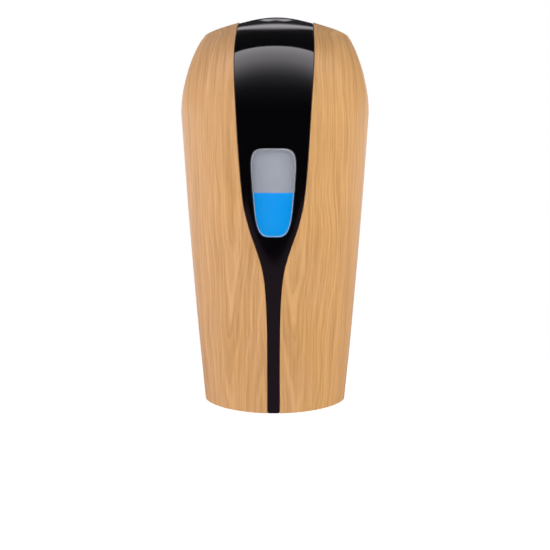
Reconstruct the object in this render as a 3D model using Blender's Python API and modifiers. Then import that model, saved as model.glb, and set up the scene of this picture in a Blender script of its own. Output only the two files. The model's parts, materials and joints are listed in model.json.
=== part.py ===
"""Wall-mounted automatic soap dispenser.

The wood-look cover is a deep hood that swings forward and down on two pins at the foot of the back plate.
Behind it a refillable tank stands on a machine case, which holds a motor-driven gear pump, four cells and
the hand sensor. All lengths are in metres. Heights are measured up from the lowest point of the cover,
X runs to the right, and Y runs back to the wall, which is the plane y = 0.
"""

import functools
import math
from collections import namedtuple

import bmesh
import bpy
import numpy as np
from mathutils import Matrix, Vector

PART_NAME = "automatic_soap_dispenser"

# Clearances and cutting
AIR_GAP = 0.0003
SEAT_GAP = 0.0004
CUT_OVERRUN = 0.002
JOIN_BITE = 0.0006
WELD_DISTANCE = 0.00001
SHARP_ANGLE = math.radians(32)
SCREW_MERGE = 0.00002
ROUND_SEGMENTS = 20
SMALL_SEGMENTS = 14
FINE_SEGMENTS = 8

# Cover envelope
COVER_HEIGHT = 0.270
COVER_DEPTH = 0.112
COVER_MAX_HALF_WIDTH = 0.0652
COVER_FOOT_HALF_WIDTH = 0.0490
COVER_FOOT_DEPTH = 0.103
COVER_REAR_GAP = 0.002
FOOT_RISE = 0.008
SHOULDER_DROP = 0.067
SHOULDER_HEIGHT = COVER_HEIGHT - SHOULDER_DROP
SIDE_LENGTH = 0.050
CORNER_HALF_WIDTH = 0.0522
CORNER_DROP = 0.015
CORNER_HEIGHT = COVER_HEIGHT - CORNER_DROP
BROW_DEPTH = 0.062
BROW_DROP = 0.0124
BROW_HEIGHT = COVER_HEIGHT - BROW_DROP
ROOF_LEAN_SHARE = 1.5
DOME_END_ANGLE = math.radians(65)
SIDE_BULGE_SHARE = 0.22
DEPTH_BULGE_SHARE = 0.35
NOSE_ROUND_SHARE = 0.6
SHOULDER_POWER = 1.8
SIDE_FADE_POWER = 2.0
FOOT_FADE_POWER = 3.0
WALL_ROW_SHARES = (0, 0.2, 0.31, 0.38, 0.44, 0.5, 0.56, 0.62, 0.7, 0.8, 0.9, 1)
WALL_LEVEL = 1.0
DOME_LEVEL = 2.0
ROOF_LEVEL = 3.0
DOME_ROWS = 5
ROOF_ROWS = 3
ROW_SAMPLES = 48
ROOF_SEARCH_STEPS = 20
SLOPE_STEP_SHARE = 0.01
RIM_SLOPE_SHARE = 0.96
SHELL_COLUMNS = 10
PANEL_COLUMNS = 8

# Cover skins
SHELL_WALL = 0.0022
SEAM_GAP = 0.0005
PANEL_HALF_WIDTH = 0.0272
SEAM_SPAN = 0.270
SEAM_KNOT_SHARES = (
    (0.00, 0.150),
    (0.20, 0.155),
    (0.30, 0.190),
    (0.36, 0.262),
    (0.41, 0.405),
    (0.47, 0.610),
    (0.53, 0.750),
    (0.63, 0.850),
    (0.78, 0.940),
    (0.90, 1.000),
    (1.00, 0.970),
)

# Window in the centre panel
WINDOW_HALF_HEIGHT = 0.0298
WINDOW_DROP = 0.1196
WINDOW_CENTRE_HEIGHT = COVER_HEIGHT - WINDOW_DROP
WINDOW_HALF_WIDTH = 0.0140
WINDOW_TAPER_SHARE = 0.19
WINDOW_TOP_POWER = 5.0
WINDOW_FOOT_POWER = 3.5
WINDOW_POINTS = 28
WINDOW_ROWS = 5
WINDOW_COLUMNS = 6
WINDOW_LIP = 0.0032
LENS_GAP = 0.0004
LENS_SINK = 0.0005
LENS_FLANGE_WALL = 0.0012

# Carrier frame inside the cover
FRAME_WALL = 0.0020
FRAME_GAP = 0.0008
FRAME_FLANGE = 0.007
FRAME_COLUMNS = 8
FRAME_REAR_REACH = 0.0055
HOOP_LOW = 0.0095
HOOP_HIGH = 0.0225
HOOP_ROWS = 1
HOOP_SINK = 0.0004
HOOP_COLUMNS = 22
FRAME_FOOT = 0.003

# Cover hinge
HINGE_REACH = 0.013
HINGE_HEIGHT = 0.0135
HINGE_PIN_RADIUS = 0.0018
HINGE_PIN_CLEARANCE = 0.0003
HINGE_HEAD_RADIUS = 0.0030
HINGE_HEAD_LENGTH = 0.0010
KNUCKLE_RADIUS = 0.0046
KNUCKLE_POINTS = 9
LUG_INNER = 0.0340
LUG_OUTER = 0.0394
EAR_INNER = 0.0399
EAR_OUTER = 0.0463

# Latch button in the roof
BUTTON_HALF_WIDTH = 0.0210
BUTTON_CENTRE_REACH = 0.0200
BUTTON_REAR_LENGTH = 0.0115
BUTTON_FRONT_LENGTH = 0.0065
BUTTON_REAR_POWER = 1.8
BUTTON_FRONT_POWER = 2.6
BUTTON_POINTS = 20
BUTTON_GAP = 0.0004
BUTTON_SINK = 0.0004
BUTTON_WALL = 0.0020
BUTTON_DISH = 0.0014
BUTTON_RING_SHARES = (0.25, 0.6, 1)
BUTTON_STEM_HALF_WIDTH = 0.0060
BUTTON_STEM_REACH = 0.0190
BUTTON_STEM_WALL = 0.0020
BUTTON_HOOK_DROP = 0.0210
BUTTON_HOOK_HEIGHT = COVER_HEIGHT - BUTTON_HOOK_DROP
BUTTON_HOOK_WALL = 0.0018
BUTTON_HOOK_LENGTH = 0.0090
CATCH_HALF_WIDTH = 0.0080
CATCH_REACH = 0.0130
CATCH_WALL = 0.0020
CATCH_GAP = 0.0006
BRIDGE_HALF_WIDTH = 0.0275
BRIDGE_INNER_HALF_WIDTH = 0.0240
BRIDGE_DROP = 0.0165
BRIDGE_HEIGHT = COVER_HEIGHT - BRIDGE_DROP
BRIDGE_WALL = 0.0018
BRIDGE_POST_LENGTH = 0.0069
BRIDGE_TOP = BRIDGE_HEIGHT + BRIDGE_POST_LENGTH
BRIDGE_FRONT_REACH = 0.0235
BRIDGE_REAR_REACH = 0.0145
BRIDGE_SLOT_GAP = 0.0006
LATCH_SPRING_SPACING = 0.0130
LATCH_SPRING_RADIUS = 0.0024
LATCH_SPRING_DROP = 0.0073
LATCH_SPRING_TOP = COVER_HEIGHT - LATCH_SPRING_DROP
LATCH_SPRING_CURLS = 4
LATCH_POST_RADIUS = 0.0015
LATCH_POST_HEIGHT = 0.0020

# Back plate
PLATE_WALL = 0.0025
PLATE_INSET = 0.0034
PLATE_FOOT = 0.0078
PLATE_FOOT_HALF_WIDTH = 0.0425
PLATE_FOOT_TOP = 0.0270
PLATE_SIDE_FOOT = 0.0310
PLATE_SIDE_POINTS = 7
PLATE_ARCH_POINTS = 5
PLATE_ARCH_SHARE = 0.94
RIM_INSET = 0.0072
RIM_WALL = 0.0018
RIM_REACH = 0.0080
KEYHOLE_SPACING = 0.0320
KEYHOLE_LOW_HEIGHT = 0.1050
KEYHOLE_DROP = 0.0560
KEYHOLE_HEIGHTS = (KEYHOLE_LOW_HEIGHT, COVER_HEIGHT - KEYHOLE_DROP)
KEYHOLE_HEAD_RADIUS = 0.0045
KEYHOLE_SLOT_RADIUS = 0.0024
KEYHOLE_SLOT_LENGTH = 0.0080
KEYHOLE_POINTS = 5
PLATE_RIB_SPACING = 0.0180
PLATE_RIB_WALL = 0.0018
PLATE_RIB_REACH = 0.0075
PLATE_RIB_LOW = 0.0920
PLATE_RIB_DROP = 0.0420
PLATE_RIB_HIGH = COVER_HEIGHT - PLATE_RIB_DROP

# Machine case
CORE_FLOOR = 0.0120
CORE_RIM = 0.0820
CORE_WALL = 0.0020
CORE_FRONT_REACH = 0.0795
CORE_FRONT_HALF_WIDTH = 0.0305
CORE_CHEEK_REACH = 0.0680
CORE_CHEEK_HALF_WIDTH = 0.0380
CORE_FLANK_REACH = 0.0520
CORE_HALF_WIDTH = 0.0432
CORE_WAIST_REACH = 0.0225
CORE_WAIST_HALF_WIDTH = 0.0315
LID_WALL = 0.0020
LID_SCREW_SPACING = 0.0385
LID_SCREW_REACHES = (0.0270, 0.0500)
LID_SCREW_RADIUS = 0.0013
LID_SCREW_HEAD_RADIUS = 0.0026
LID_SCREW_HEAD_LENGTH = 0.0016
LID_SCREW_LENGTH = 0.0080
LID_BOSS_RADIUS = 0.0034
LID_BOSS_LENGTH = 0.0120

# Tank socket in the lid
SPOUT_REACH = 0.0450
SOCKET_FLOOR = 0.0735
SOCKET_WALL = 0.0018
SOCKET_BORE_RADIUS = 0.0092
SOCKET_SPIGOT_RADIUS = 0.0026
SOCKET_SPIGOT_BORE = 0.0014
SOCKET_SPIGOT_LENGTH = 0.0050
SEAL_WIRE_RADIUS = 0.0009
SEAL_STEPS = 6

# Bottom plate
BASE_LOW = 0.0035
BASE_WALL = 0.0022
BASE_INSET = 0.0064
BASE_REAR_REACH = 0.0240
BASE_POST_RADIUS = 0.0030
BASE_POST_SPACING = 0.0300
BASE_POST_REACHES = (0.0300, 0.0620)
BASE_COLUMNS = 9

# Motor
MOTOR_REACH = 0.0370
MOTOR_HEIGHT = 0.0420
MOTOR_RADIUS = 0.0120
MOTOR_LENGTH = 0.0300
MOTOR_FACE = 0.0020
MOTOR_NOSE_RADIUS = 0.0035
MOTOR_NOSE_LENGTH = 0.0015
MOTOR_CAN_WALL = 0.0010
MOTOR_EDGE = 0.0012
MOTOR_CAP_LENGTH = 0.0035
MOTOR_CAP_RADIUS = 0.0105
MOTOR_TERMINAL_WIDTH = 0.0020
MOTOR_TERMINAL_LENGTH = 0.0030
MOTOR_TERMINAL_WALL = 0.0006
MOTOR_TERMINAL_SPACING = 0.0060
MOTOR_SHAFT_RADIUS = 0.0010
CRADLE_WALL = 0.0022
CRADLE_SPACING = 0.0180
CRADLE_HALF_WIDTH = 0.0100

# Gear pump
GEAR_TEETH = 12
GEAR_MODULE = 0.0010
GEAR_PRESSURE_ANGLE = math.radians(28)
GEAR_ADDENDUM_SHARE = 0.90
GEAR_DEDENDUM_SHARE = 1.15
GEAR_BACKLASH = 0.00024
GEAR_LENGTH = 0.0080
GEAR_FLANK_POINTS = 3
GEAR_SIDE_GAP = 0.0002
GEAR_TIP_GAP = 0.0003
CHAMBER_POINTS = 17
PUMP_OUTLINE_POINTS = 9
IDLER_PIN_RADIUS = 0.0012
PUMP_WALL = 0.0038
PUMP_BACK_WALL = 0.0025
PUMP_COVER_WALL = 0.0025
PUMP_SPIGOT_RADIUS = 0.0026
PUMP_SPIGOT_BORE = 0.0014
PUMP_SPIGOT_LENGTH = 0.0050
PUMP_SCREW_RADIUS = 0.0010
PUMP_SCREW_HEAD_RADIUS = 0.0020
PUMP_SCREW_HEAD_LENGTH = 0.0012
PUMP_SCREW_LENGTH = 0.0080
SHAFT_SEAL_RADIUS = 0.0026
SHAFT_SEAL_LENGTH = 0.0014

# Hoses and nozzle
HOSE_RADIUS = 0.0040
HOSE_BORE = 0.0030
HOSE_POINTS = 8
HOSE_ROUNDNESS = 4
WIRE_ROUNDNESS = 1
HOSE_OVERLAP = 0.0040
NOZZLE_REACH = 0.0570
NOZZLE_TIP = 0.0022
NOZZLE_TIP_RADIUS = 0.0024
NOZZLE_COLLAR_RADIUS = 0.0056
NOZZLE_COLLAR_LENGTH = 0.0015
NOZZLE_BODY_RADIUS = 0.0036
NOZZLE_BORE = 0.0016
NOZZLE_TOP = 0.0200
NOZZLE_VALVE_LENGTH = 0.0026
NOZZLE_VALVE_SLIT = 0.0004

# Electronics
BOARD_WALL = 0.0016
BOARD_REACH = 0.0130
BOARD_HALF_WIDTH = 0.0270
BOARD_LOW = 0.0220
BOARD_HIGH = 0.0760
BOARD_RAIL = 0.0024
CHIP_HEIGHT_SHARE = 0.75
PROCESSOR_WIDTH = 0.0100
PROCESSOR_WALL = 0.0018
CAPACITOR_RADIUS = 0.0032
CAPACITOR_LENGTH = 0.0085
SENSOR_NOZZLE_PITCH = 0.0130
SENSOR_REACH = NOZZLE_REACH + SENSOR_NOZZLE_PITCH
SENSOR_SPACING = 0.0085
SENSOR_BOARD_HALF_WIDTH = 0.0140
SENSOR_BOARD_HALF_LENGTH = 0.0055
SENSOR_BOARD_LOW = 0.0100
SENSOR_BOARD_WALL = 0.0012
SENSOR_LAMP_RADIUS = 0.0015
SENSOR_LAMP_LENGTH = 0.0032
STATUS_LAMP_RADIUS = 0.0010
SENSOR_WINDOW_HALF_WIDTH = 0.0120
SENSOR_WINDOW_HALF_LENGTH = 0.0035
SENSOR_WINDOW_LIP = 0.0010
SENSOR_WINDOW_WALL = 0.0012

# Battery bay
CELL_RADIUS = 0.00715
CELL_LENGTH = 0.0495
CELL_NUB_RADIUS = 0.0027
CELL_NUB_LENGTH = 0.0010
CELL_EDGE = 0.0006
CELL_COUNT = 4
CELL_PITCH = 0.0149
CELL_LOW = 0.0250
CELL_REACH = 0.0706
TRAY_WALL = 0.0011
TRAY_GAP = 0.0005
CONTACT_WALL = 0.0004
CONTACT_BUMP = 0.0006
DOOR_WALL = 0.0018
DOOR_HALF_WIDTH = 0.0272
DOOR_LIP = 0.0014
DOOR_TRAVEL = 0.0100
DOOR_GRIP_COUNT = 5
DOOR_GRIP_PITCH = 0.0024
DOOR_GRIP_HALF_WIDTH = 0.0080
DOOR_GRIP_HEIGHT = 0.0700
DOOR_GRIP_WALL = 0.0010
DOOR_GRIP_RISE = 0.0007

# Power switch
SWITCH_REACH = 0.0370
SWITCH_HEIGHT = 0.0640
SWITCH_HALF_LENGTH = 0.0060
SWITCH_HALF_HEIGHT = 0.0032
SWITCH_WALL = 0.0045
SWITCH_KNOB_HALF_LENGTH = 0.0016
SWITCH_KNOB_HALF_HEIGHT = 0.0014
SWITCH_KNOB_STANDOUT = 0.0020
SWITCH_TRAVEL = 0.0030

# Refill tank
TANK_WALL = 0.0015
TANK_FLOOR = 0.0890
TANK_HEEL = 0.0945
TANK_SHOULDER_RISE = 0.0025
TANK_SHOULDER = SHOULDER_HEIGHT + TANK_SHOULDER_RISE
TANK_BROW_RISE = 0.0100
TANK_BROW = TANK_SHOULDER + TANK_BROW_RISE
TANK_TOP_RISE = 0.0050
TANK_TOP = TANK_BROW + TANK_TOP_RISE
TANK_REAR_REACH = 0.0095
TANK_FRONT_INSET = 0.0095
TANK_SIDE_INSET = 0.0095
TANK_CORNER_RADIUS = 0.0100
TANK_HEEL_INSET = 0.0040
TANK_BROW_INSET = 0.0060
TANK_TOP_INSET = 0.0140
TANK_NOSE_POINTS = 7
TANK_CORNER_POINTS = 3
TANK_REAR_POINTS = 3
TANK_NECK_RADIUS = 0.0170
TANK_NECK_LENGTH = 0.0070
TANK_NECK_TOP = TANK_TOP + TANK_NECK_LENGTH
TANK_NECK_REACH = 0.0400
SPOUT_RADIUS = 0.0074
SPOUT_FOOT = 0.0765
SPOUT_HOLE_RADIUS = 0.0030
SOAP_DROP = 0.1200
SOAP_LEVEL = COVER_HEIGHT - SOAP_DROP
SOAP_GAP = 0.0004
CAP_RADIUS = 0.0205
CAP_SKIRT_GAP = 0.0023
CAP_SKIRT_LOW = TANK_TOP + CAP_SKIRT_GAP
CAP_CROWN_RISE = 0.0030
CAP_TOP = TANK_NECK_TOP + CAP_CROWN_RISE
CAP_WALL = 0.0018
CAP_RIB_COUNT = 10
CAP_RIB_RISE = 0.0008
CAP_RIB_SIDES = 6
CAP_GRIP_HALF_WIDTH = 0.0022
CAP_GRIP_LENGTH = 0.0130
CAP_GRIP_RISE = 0.0030

# Tank valve
VALVE_HEAD_RADIUS = 0.0044
VALVE_HEAD_WALL = 0.0014
VALVE_LIFT = 0.0025
VALVE_STEM_RADIUS = 0.0016
VALVE_SLOT_WIDTH = 0.0011
VALVE_SPRING_RADIUS = 0.0036
VALVE_SPRING_CURLS = 4
CAGE_WALL = 0.0012
CAGE_HEIGHT = 0.0903
CAGE_HOLE_RADIUS = 0.0022
SPRING_WIRE_RADIUS = 0.00035
SPRING_CURL_POINTS = 8
SPRING_LEAST_GAP = 0.0004

# Frame of reference
MILLIMETRE = 0.001
MOUNT_HEIGHT = 0.1600

Finish = namedtuple("Finish", "colour roughness metallic")
FINISHES = {
    "wood_look": Finish((0.66, 0.38, 0.18), 0.45, 0.0),
    "gloss_black": Finish((0.006, 0.005, 0.008), 0.08, 0.0),
    "smoked_clear": Finish((0.45, 0.48, 0.55), 0.10, 0.0),
    "soap_blue": Finish((0.01, 0.34, 0.94), 0.15, 0.0),
    "white_plastic": Finish((0.78, 0.79, 0.80), 0.40, 0.0),
    "grey_plastic": Finish((0.30, 0.31, 0.33), 0.50, 0.0),
    "black_plastic": Finish((0.02, 0.02, 0.022), 0.50, 0.0),
    "natural_plastic": Finish((0.62, 0.66, 0.68), 0.30, 0.0),
    "rubber": Finish((0.03, 0.03, 0.03), 0.80, 0.0),
    "silicone": Finish((0.70, 0.72, 0.72), 0.55, 0.0),
    "steel": Finish((0.55, 0.56, 0.58), 0.30, 1.0),
    "brass": Finish((0.72, 0.50, 0.20), 0.30, 1.0),
    "board_green": Finish((0.01, 0.14, 0.05), 0.45, 0.0),
    "lamp_clear": Finish((0.70, 0.72, 0.78), 0.10, 0.0),
    "lamp_blue": Finish((0.05, 0.20, 0.80), 0.15, 0.0),
    "cell_wrap": Finish((0.05, 0.10, 0.22), 0.35, 0.2),
}

Pivot = namedtuple("Pivot", "empty place")
Station = namedtuple("Station", "half_width depth side_length rim_height nose_height roof_share")
RowCurve = namedtuple("RowCurve", "across back height travel")


# Scene helpers


def clear_scene():
    """Remove whatever the open scene holds."""
    for thing in list(bpy.data.objects):
        bpy.data.objects.remove(thing, do_unlink=True)


def new_collection(name):
    """Add a collection to the scene."""
    collection = bpy.data.collections.new(name)
    bpy.context.scene.collection.children.link(collection)
    return collection


def new_material(name, finish):
    """Make a plain Principled material from a finish."""
    material = bpy.data.materials.new(name)
    material.use_nodes = True
    shader = material.node_tree.nodes["Principled BSDF"]
    shader.inputs["Base Color"].default_value = (*finish.colour, 1)
    shader.inputs["Roughness"].default_value = finish.roughness
    shader.inputs["Metallic"].default_value = finish.metallic
    material.diffuse_color = (*finish.colour, 1)
    return material


def move_to(collection, thing):
    """Keep an object in one collection only."""
    for holder in list(thing.users_collection):
        holder.objects.unlink(thing)
    collection.objects.link(thing)


def new_pivot(name, place, carrier=None):
    """Add an empty at a place given in the heights of this file, carried by another pivot."""
    empty = bpy.data.objects.new(name, None)
    parts.objects.link(empty)
    pivot = Pivot(empty, Vector(place))
    if carrier:
        empty.parent = carrier.empty
        empty.location = pivot.place - carrier.place
    return pivot


def weld_cuts():
    """Close the hairline edges that cutting leaves, on every piece that was cut or joined."""
    for thing in parts.objects:
        if "BOOLEAN" in [modifier.type for modifier in thing.modifiers]:
            weld = thing.modifiers.new("Weld", "WELD")
            weld.merge_threshold = WELD_DISTANCE


def hang_on(thing, pivot):
    """Parent an object to a pivot and leave it where it was modelled."""
    thing.parent = pivot.empty
    thing.location = thing.location - pivot.place


def piece(name, shape, finish_name, pivot):
    """Name a finished shape, give it its material and hang it on its pivot."""
    shape.name = name
    shape.data.name = name
    move_to(parts, shape)
    shape.data.materials.clear()
    shape.data.materials.append(materials[finish_name])
    shape.data.shade_smooth()
    shape.data.set_sharp_from_angle(angle=SHARP_ANGLE)
    hang_on(shape, pivot)
    return shape


def use_tool(target, tool, operation):
    """Cut, join or trim a shape with another, which is then kept out of sight."""
    move_to(cutters, tool)
    tool.name = target.name + "_" + operation.lower()
    tool.hide_render = True
    tool.display_type = "WIRE"
    hang_on(tool, wall_mount)
    boolean = target.modifiers.new(operation.title(), "BOOLEAN")
    boolean.operation = operation
    boolean.object = tool
    return target


def cut(target, tool):
    """Cut a tool's shape out of a target."""
    return use_tool(target, tool, "DIFFERENCE")


def join(target, tool):
    """Fuse a tool's shape to a target."""
    return use_tool(target, tool, "UNION")


def trim(target, tool):
    """Keep only what lies inside a tool's shape."""
    return use_tool(target, tool, "INTERSECT")


# Shape helpers


def mesh_object(name, mesh):
    """Wrap a mesh in an object of the parts collection."""
    thing = bpy.data.objects.new(name, mesh)
    parts.objects.link(thing)
    return thing


def block(x_span, y_span, z_span):
    """Make a box between pairs of limits."""
    spans = (x_span, y_span, z_span)
    centre = [(low + high) / 2 for low, high in spans]
    bpy.ops.mesh.primitive_cube_add(size=1, location=centre)
    thing = bpy.context.object
    thing.data.transform(Matrix.Diagonal([high - low for low, high in spans] + [1]))
    move_to(parts, thing)
    return thing


def both_sides(reach):
    """Give the limits of something centred on the middle plane."""
    return (-reach, reach)


def behind(near, far):
    """Give the Y limits of something between two distances from the wall."""
    return (-far, -near)


def rod(radius, start, end, segments=ROUND_SEGMENTS):
    """Make a cylinder between two points."""
    start = Vector(start)
    end = Vector(end)
    line = end - start
    turn = line.to_track_quat("Z", "Y").to_euler()
    bpy.ops.mesh.primitive_cylinder_add(
        vertices=segments, radius=radius, depth=line.length, location=(start + end) / 2, rotation=turn
    )
    thing = bpy.context.object
    move_to(parts, thing)
    return thing


def turned(profile, place, axis="z", segments=ROUND_SEGMENTS, closed=False):
    """Turn a profile of (radius, height) points, listed down its outer side, about an upright axis.

    The axis is then laid along +X for "x", or towards the front for "y".
    """
    mesh = bpy.data.meshes.new("profile")
    points = [(radius, 0, height) for radius, height in profile]
    edges = [(i, i + 1) for i in range(len(points) - 1)]
    if closed:
        edges.append((len(points) - 1, 0))
    mesh.from_pydata(points, edges, [])
    thing = mesh_object("turned", mesh)
    screw = thing.modifiers.new("Turn", "SCREW")
    screw.steps = segments
    screw.render_steps = segments
    screw.use_merge_vertices = True
    screw.merge_threshold = SCREW_MERGE
    thing.location = place
    if axis == "x":
        thing.rotation_euler = (0, math.pi / 2, 0)
    if axis == "y":
        thing.rotation_euler = (math.pi / 2, 0, 0)
    return thing


def baked(thing):
    """Turn an object with modifiers, or a curve, into a plain welded mesh at the same place."""
    graph = bpy.context.evaluated_depsgraph_get()
    mesh = bpy.data.meshes.new_from_object(thing.evaluated_get(graph))
    shape = bmesh.new()
    shape.from_mesh(mesh)
    bmesh.ops.remove_doubles(shape, verts=shape.verts, dist=WELD_DISTANCE)
    bmesh.ops.recalc_face_normals(shape, faces=shape.faces)
    shape.to_mesh(mesh)
    shape.free()
    solid = mesh_object(thing.name, mesh)
    solid.matrix_world = thing.matrix_world.copy()
    bpy.data.objects.remove(thing, do_unlink=True)
    return solid


def prism(outline, low, high, axis="z"):
    """Extrude a flat outline between two planes.

    The outline is (x, y) for "z", (x, z) for "y" with the limits as distances from the wall, and
    (y, z) for "x".
    """
    curve = bpy.data.curves.new("outline", "CURVE")
    curve.dimensions = "2D"
    curve.fill_mode = "BOTH"
    curve.extrude = (high - low) / 2
    spline = curve.splines.new("POLY")
    spline.points.add(len(outline) - 1)
    for point, (across, along) in zip(spline.points, outline):
        point.co = (across, along, 0, 1)
    spline.use_cyclic_u = True
    thing = bpy.data.objects.new("prism", curve)
    parts.objects.link(thing)
    middle = (low + high) / 2
    if axis == "z":
        thing.location = (0, 0, middle)
    if axis == "y":
        thing.location = (0, -middle, 0)
        thing.rotation_euler = (math.pi / 2, 0, 0)
    if axis == "x":
        thing.location = (middle, 0, 0)
        thing.rotation_euler = (math.pi / 2, 0, math.pi / 2)
    bpy.context.view_layer.update()
    return baked(thing)


def tube(points, radius, roundness):
    """Sweep a round section along points."""
    curve = bpy.data.curves.new("tube", "CURVE")
    curve.dimensions = "3D"
    curve.bevel_depth = radius
    curve.bevel_resolution = roundness
    curve.use_fill_caps = True
    spline = curve.splines.new("POLY")
    spline.points.add(len(points) - 1)
    for target, point in zip(spline.points, points):
        target.co = (*point, 1)
    thing = bpy.data.objects.new("tube", curve)
    parts.objects.link(thing)
    bpy.context.view_layer.update()
    return baked(thing)


def loft(rows, ring=False, capped=False):
    """Skin rows of points, listed upwards, each running to the right or round to the left of itself."""
    shape = bmesh.new()
    loops = [[shape.verts.new(point) for point in row] for row in rows]
    count = len(rows[0])
    for low, high in zip(loops, loops[1:]):
        for column in range(count if ring else count - 1):
            after = (column + 1) % count
            shape.faces.new((low[column], low[after], high[after], high[column]))
    if capped:
        shape.faces.new(list(reversed(loops[0])))
        shape.faces.new(loops[-1])
    bmesh.ops.remove_doubles(shape, verts=shape.verts, dist=WELD_DISTANCE)
    mesh = bpy.data.meshes.new("loft")
    shape.to_mesh(mesh)
    shape.free()
    return mesh_object("loft", mesh)


def thicken(thing, wall):
    """Give an open skin its wall, on its inner side."""
    solid = thing.modifiers.new("Wall", "SOLIDIFY")
    solid.thickness = wall
    solid.offset = -1
    solid.use_even_offset = True
    return thing


def round_outline(half_width, high, low, high_power, low_power, taper_share, count):
    """Give a closed outline of two half superellipses that widens upwards by a taper."""
    points = []
    for step in range(count):
        angle = 2 * math.pi * step / count
        power = high_power if step <= count / 2 else low_power
        height = high if step <= count / 2 else low
        across = math.copysign(abs(math.cos(angle)) ** (2 / power), math.cos(angle))
        along = math.copysign(abs(math.sin(angle)) ** (2 / power), math.sin(angle))
        points.append((half_width * across * (1 + taper_share * along), height * along))
    return points


def arc_points(centre, radius, start, end, count):
    """Give points along an arc, both ends included."""
    angles = [start + (end - start) * step / (count - 1) for step in range(count)]
    return [(centre[0] + radius * math.cos(angle), centre[1] + radius * math.sin(angle)) for angle in angles]


def mirrored(half):
    """Complete a half outline, listed from the rear middle forwards on the right, with its left half."""
    return list(half) + [(-across, along) for across, along in reversed(half)]


def smooth_table(knots, share):
    """Read a table of (place, value) shares along a smooth curve through its knots."""
    places = [place for place, value in knots]
    values = [value for place, value in knots]
    last = len(knots) - 1
    index = min(max(sum(place <= share for place in places) - 1, 0), last - 1)
    slopes = []
    for knot in (index, index + 1):
        before = max(knot - 1, 0)
        after = min(knot + 1, last)
        slopes.append((values[after] - values[before]) / (places[after] - places[before]))
    span = places[index + 1] - places[index]
    step = (share - places[index]) / span
    rise = (2 * step**3 - 3 * step**2 + 1) * values[index] + (3 * step**2 - 2 * step**3) * values[index + 1]
    lean = (step**3 - 2 * step**2 + step) * slopes[0] + (step**3 - step**2) * slopes[1]
    return rise + span * lean


def between(low, high, share):
    """Give the value at a share of the way between two others."""
    return low + (high - low) * share


# Form of the hood


def shoulder_half_width(height):
    """Give the cover's half width at the wall, from its height above the shoulder line."""
    share = (height - SHOULDER_HEIGHT) / (CORNER_HEIGHT - SHOULDER_HEIGHT)
    return between(COVER_MAX_HALF_WIDTH, CORNER_HALF_WIDTH, share**SHOULDER_POWER)


def wall_station(share):
    """Give the hood's plan section at a share of the height up to the shoulder line."""
    swell = share * (1 - share)
    height = SHOULDER_HEIGHT * share
    return Station(
        between(COVER_FOOT_HALF_WIDTH, COVER_MAX_HALF_WIDTH, share + SIDE_BULGE_SHARE * swell),
        between(COVER_FOOT_DEPTH, COVER_DEPTH, share + DEPTH_BULGE_SHARE * swell),
        SIDE_LENGTH,
        height + FOOT_RISE * (1 - share) ** FOOT_FADE_POWER,
        height,
        0,
    )


def dome_station(share):
    """Give the section at a share of the way from the shoulder line to the brow, where the roof starts."""
    angle = DOME_END_ANGLE * share
    reach = (COVER_DEPTH - BROW_DEPTH) / (1 - math.cos(DOME_END_ANGLE))
    rise_share = math.sin(angle) / math.sin(DOME_END_ANGLE)
    rim_height = between(SHOULDER_HEIGHT, CORNER_HEIGHT, rise_share)
    return Station(
        shoulder_half_width(rim_height),
        COVER_DEPTH - reach * (1 - math.cos(angle)),
        SIDE_LENGTH * (1 - share**SIDE_FADE_POWER),
        rim_height,
        between(SHOULDER_HEIGHT, BROW_HEIGHT, rise_share),
        0,
    )


def roof_station(share):
    """Give the section at a share of the way back across the roof, which rises less and less to the wall."""
    rise_share = ROOF_LEAN_SHARE * share + (1 - ROOF_LEAN_SHARE) * share**2
    return Station(
        CORNER_HALF_WIDTH,
        between(BROW_DEPTH, COVER_REAR_GAP, share),
        0,
        CORNER_HEIGHT,
        between(BROW_HEIGHT, COVER_HEIGHT, rise_share),
        share,
    )


def station_at(level):
    """Give the section at a level: the wall up to 1, the dome up to 2 and the roof up to 3."""
    if level <= WALL_LEVEL:
        return wall_station(level)
    if level <= DOME_LEVEL:
        return dome_station(level - WALL_LEVEL)
    return roof_station(min(level - DOME_LEVEL, 1))


@functools.lru_cache(maxsize=None)
def row_curve(level):
    """Sample the right half of the hood's row at a level, from the nose to the rim at the wall."""
    station = station_at(level)
    nose_length = station.depth - COVER_REAR_GAP - station.side_length
    angles = np.linspace(0, math.pi / 2, ROW_SAMPLES)
    across = station.half_width * np.sin(angles)
    round_part = NOSE_ROUND_SHARE * (1 - np.cos(angles))
    set_back = nose_length * (round_part + (1 - NOSE_ROUND_SHARE) * np.sin(angles) ** 2)
    back = set_back - station.depth
    if station.side_length > 0:
        across = np.append(across, station.half_width)
        back = np.append(back, -COVER_REAR_GAP)
    length = station.depth - COVER_REAR_GAP
    back_share = (back + station.depth) / length if length > 0 else np.zeros_like(back)
    arch_share = 1 - (across / station.half_width) ** 2
    rise_share = (1 - station.roof_share) * (1 - back_share**2) + station.roof_share * arch_share
    height = station.rim_height + (station.nose_height - station.rim_height) * rise_share
    steps = np.sqrt(np.diff(across) ** 2 + np.diff(back) ** 2 + np.diff(height) ** 2)
    travel = np.concatenate(([0], np.cumsum(steps)))
    return RowCurve(across, back, height, travel)


def row_length(level):
    """Give the length of half a row, from the nose to the rim."""
    return row_curve(level).travel[-1]


def row_point(level, travel):
    """Give the point on the hood at a signed distance along its row from the nose."""
    curve = row_curve(level)
    reach = abs(travel)
    across = math.copysign(np.interp(reach, curve.travel, curve.across), travel)
    back = np.interp(reach, curve.travel, curve.back)
    height = np.interp(reach, curve.travel, curve.height)
    return Vector((across, back, height))


def travel_to(level, across):
    """Give the distance along a row at which it stands a given width from the middle."""
    curve = row_curve(level)
    return float(np.interp(across, curve.across, curve.travel))


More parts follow.
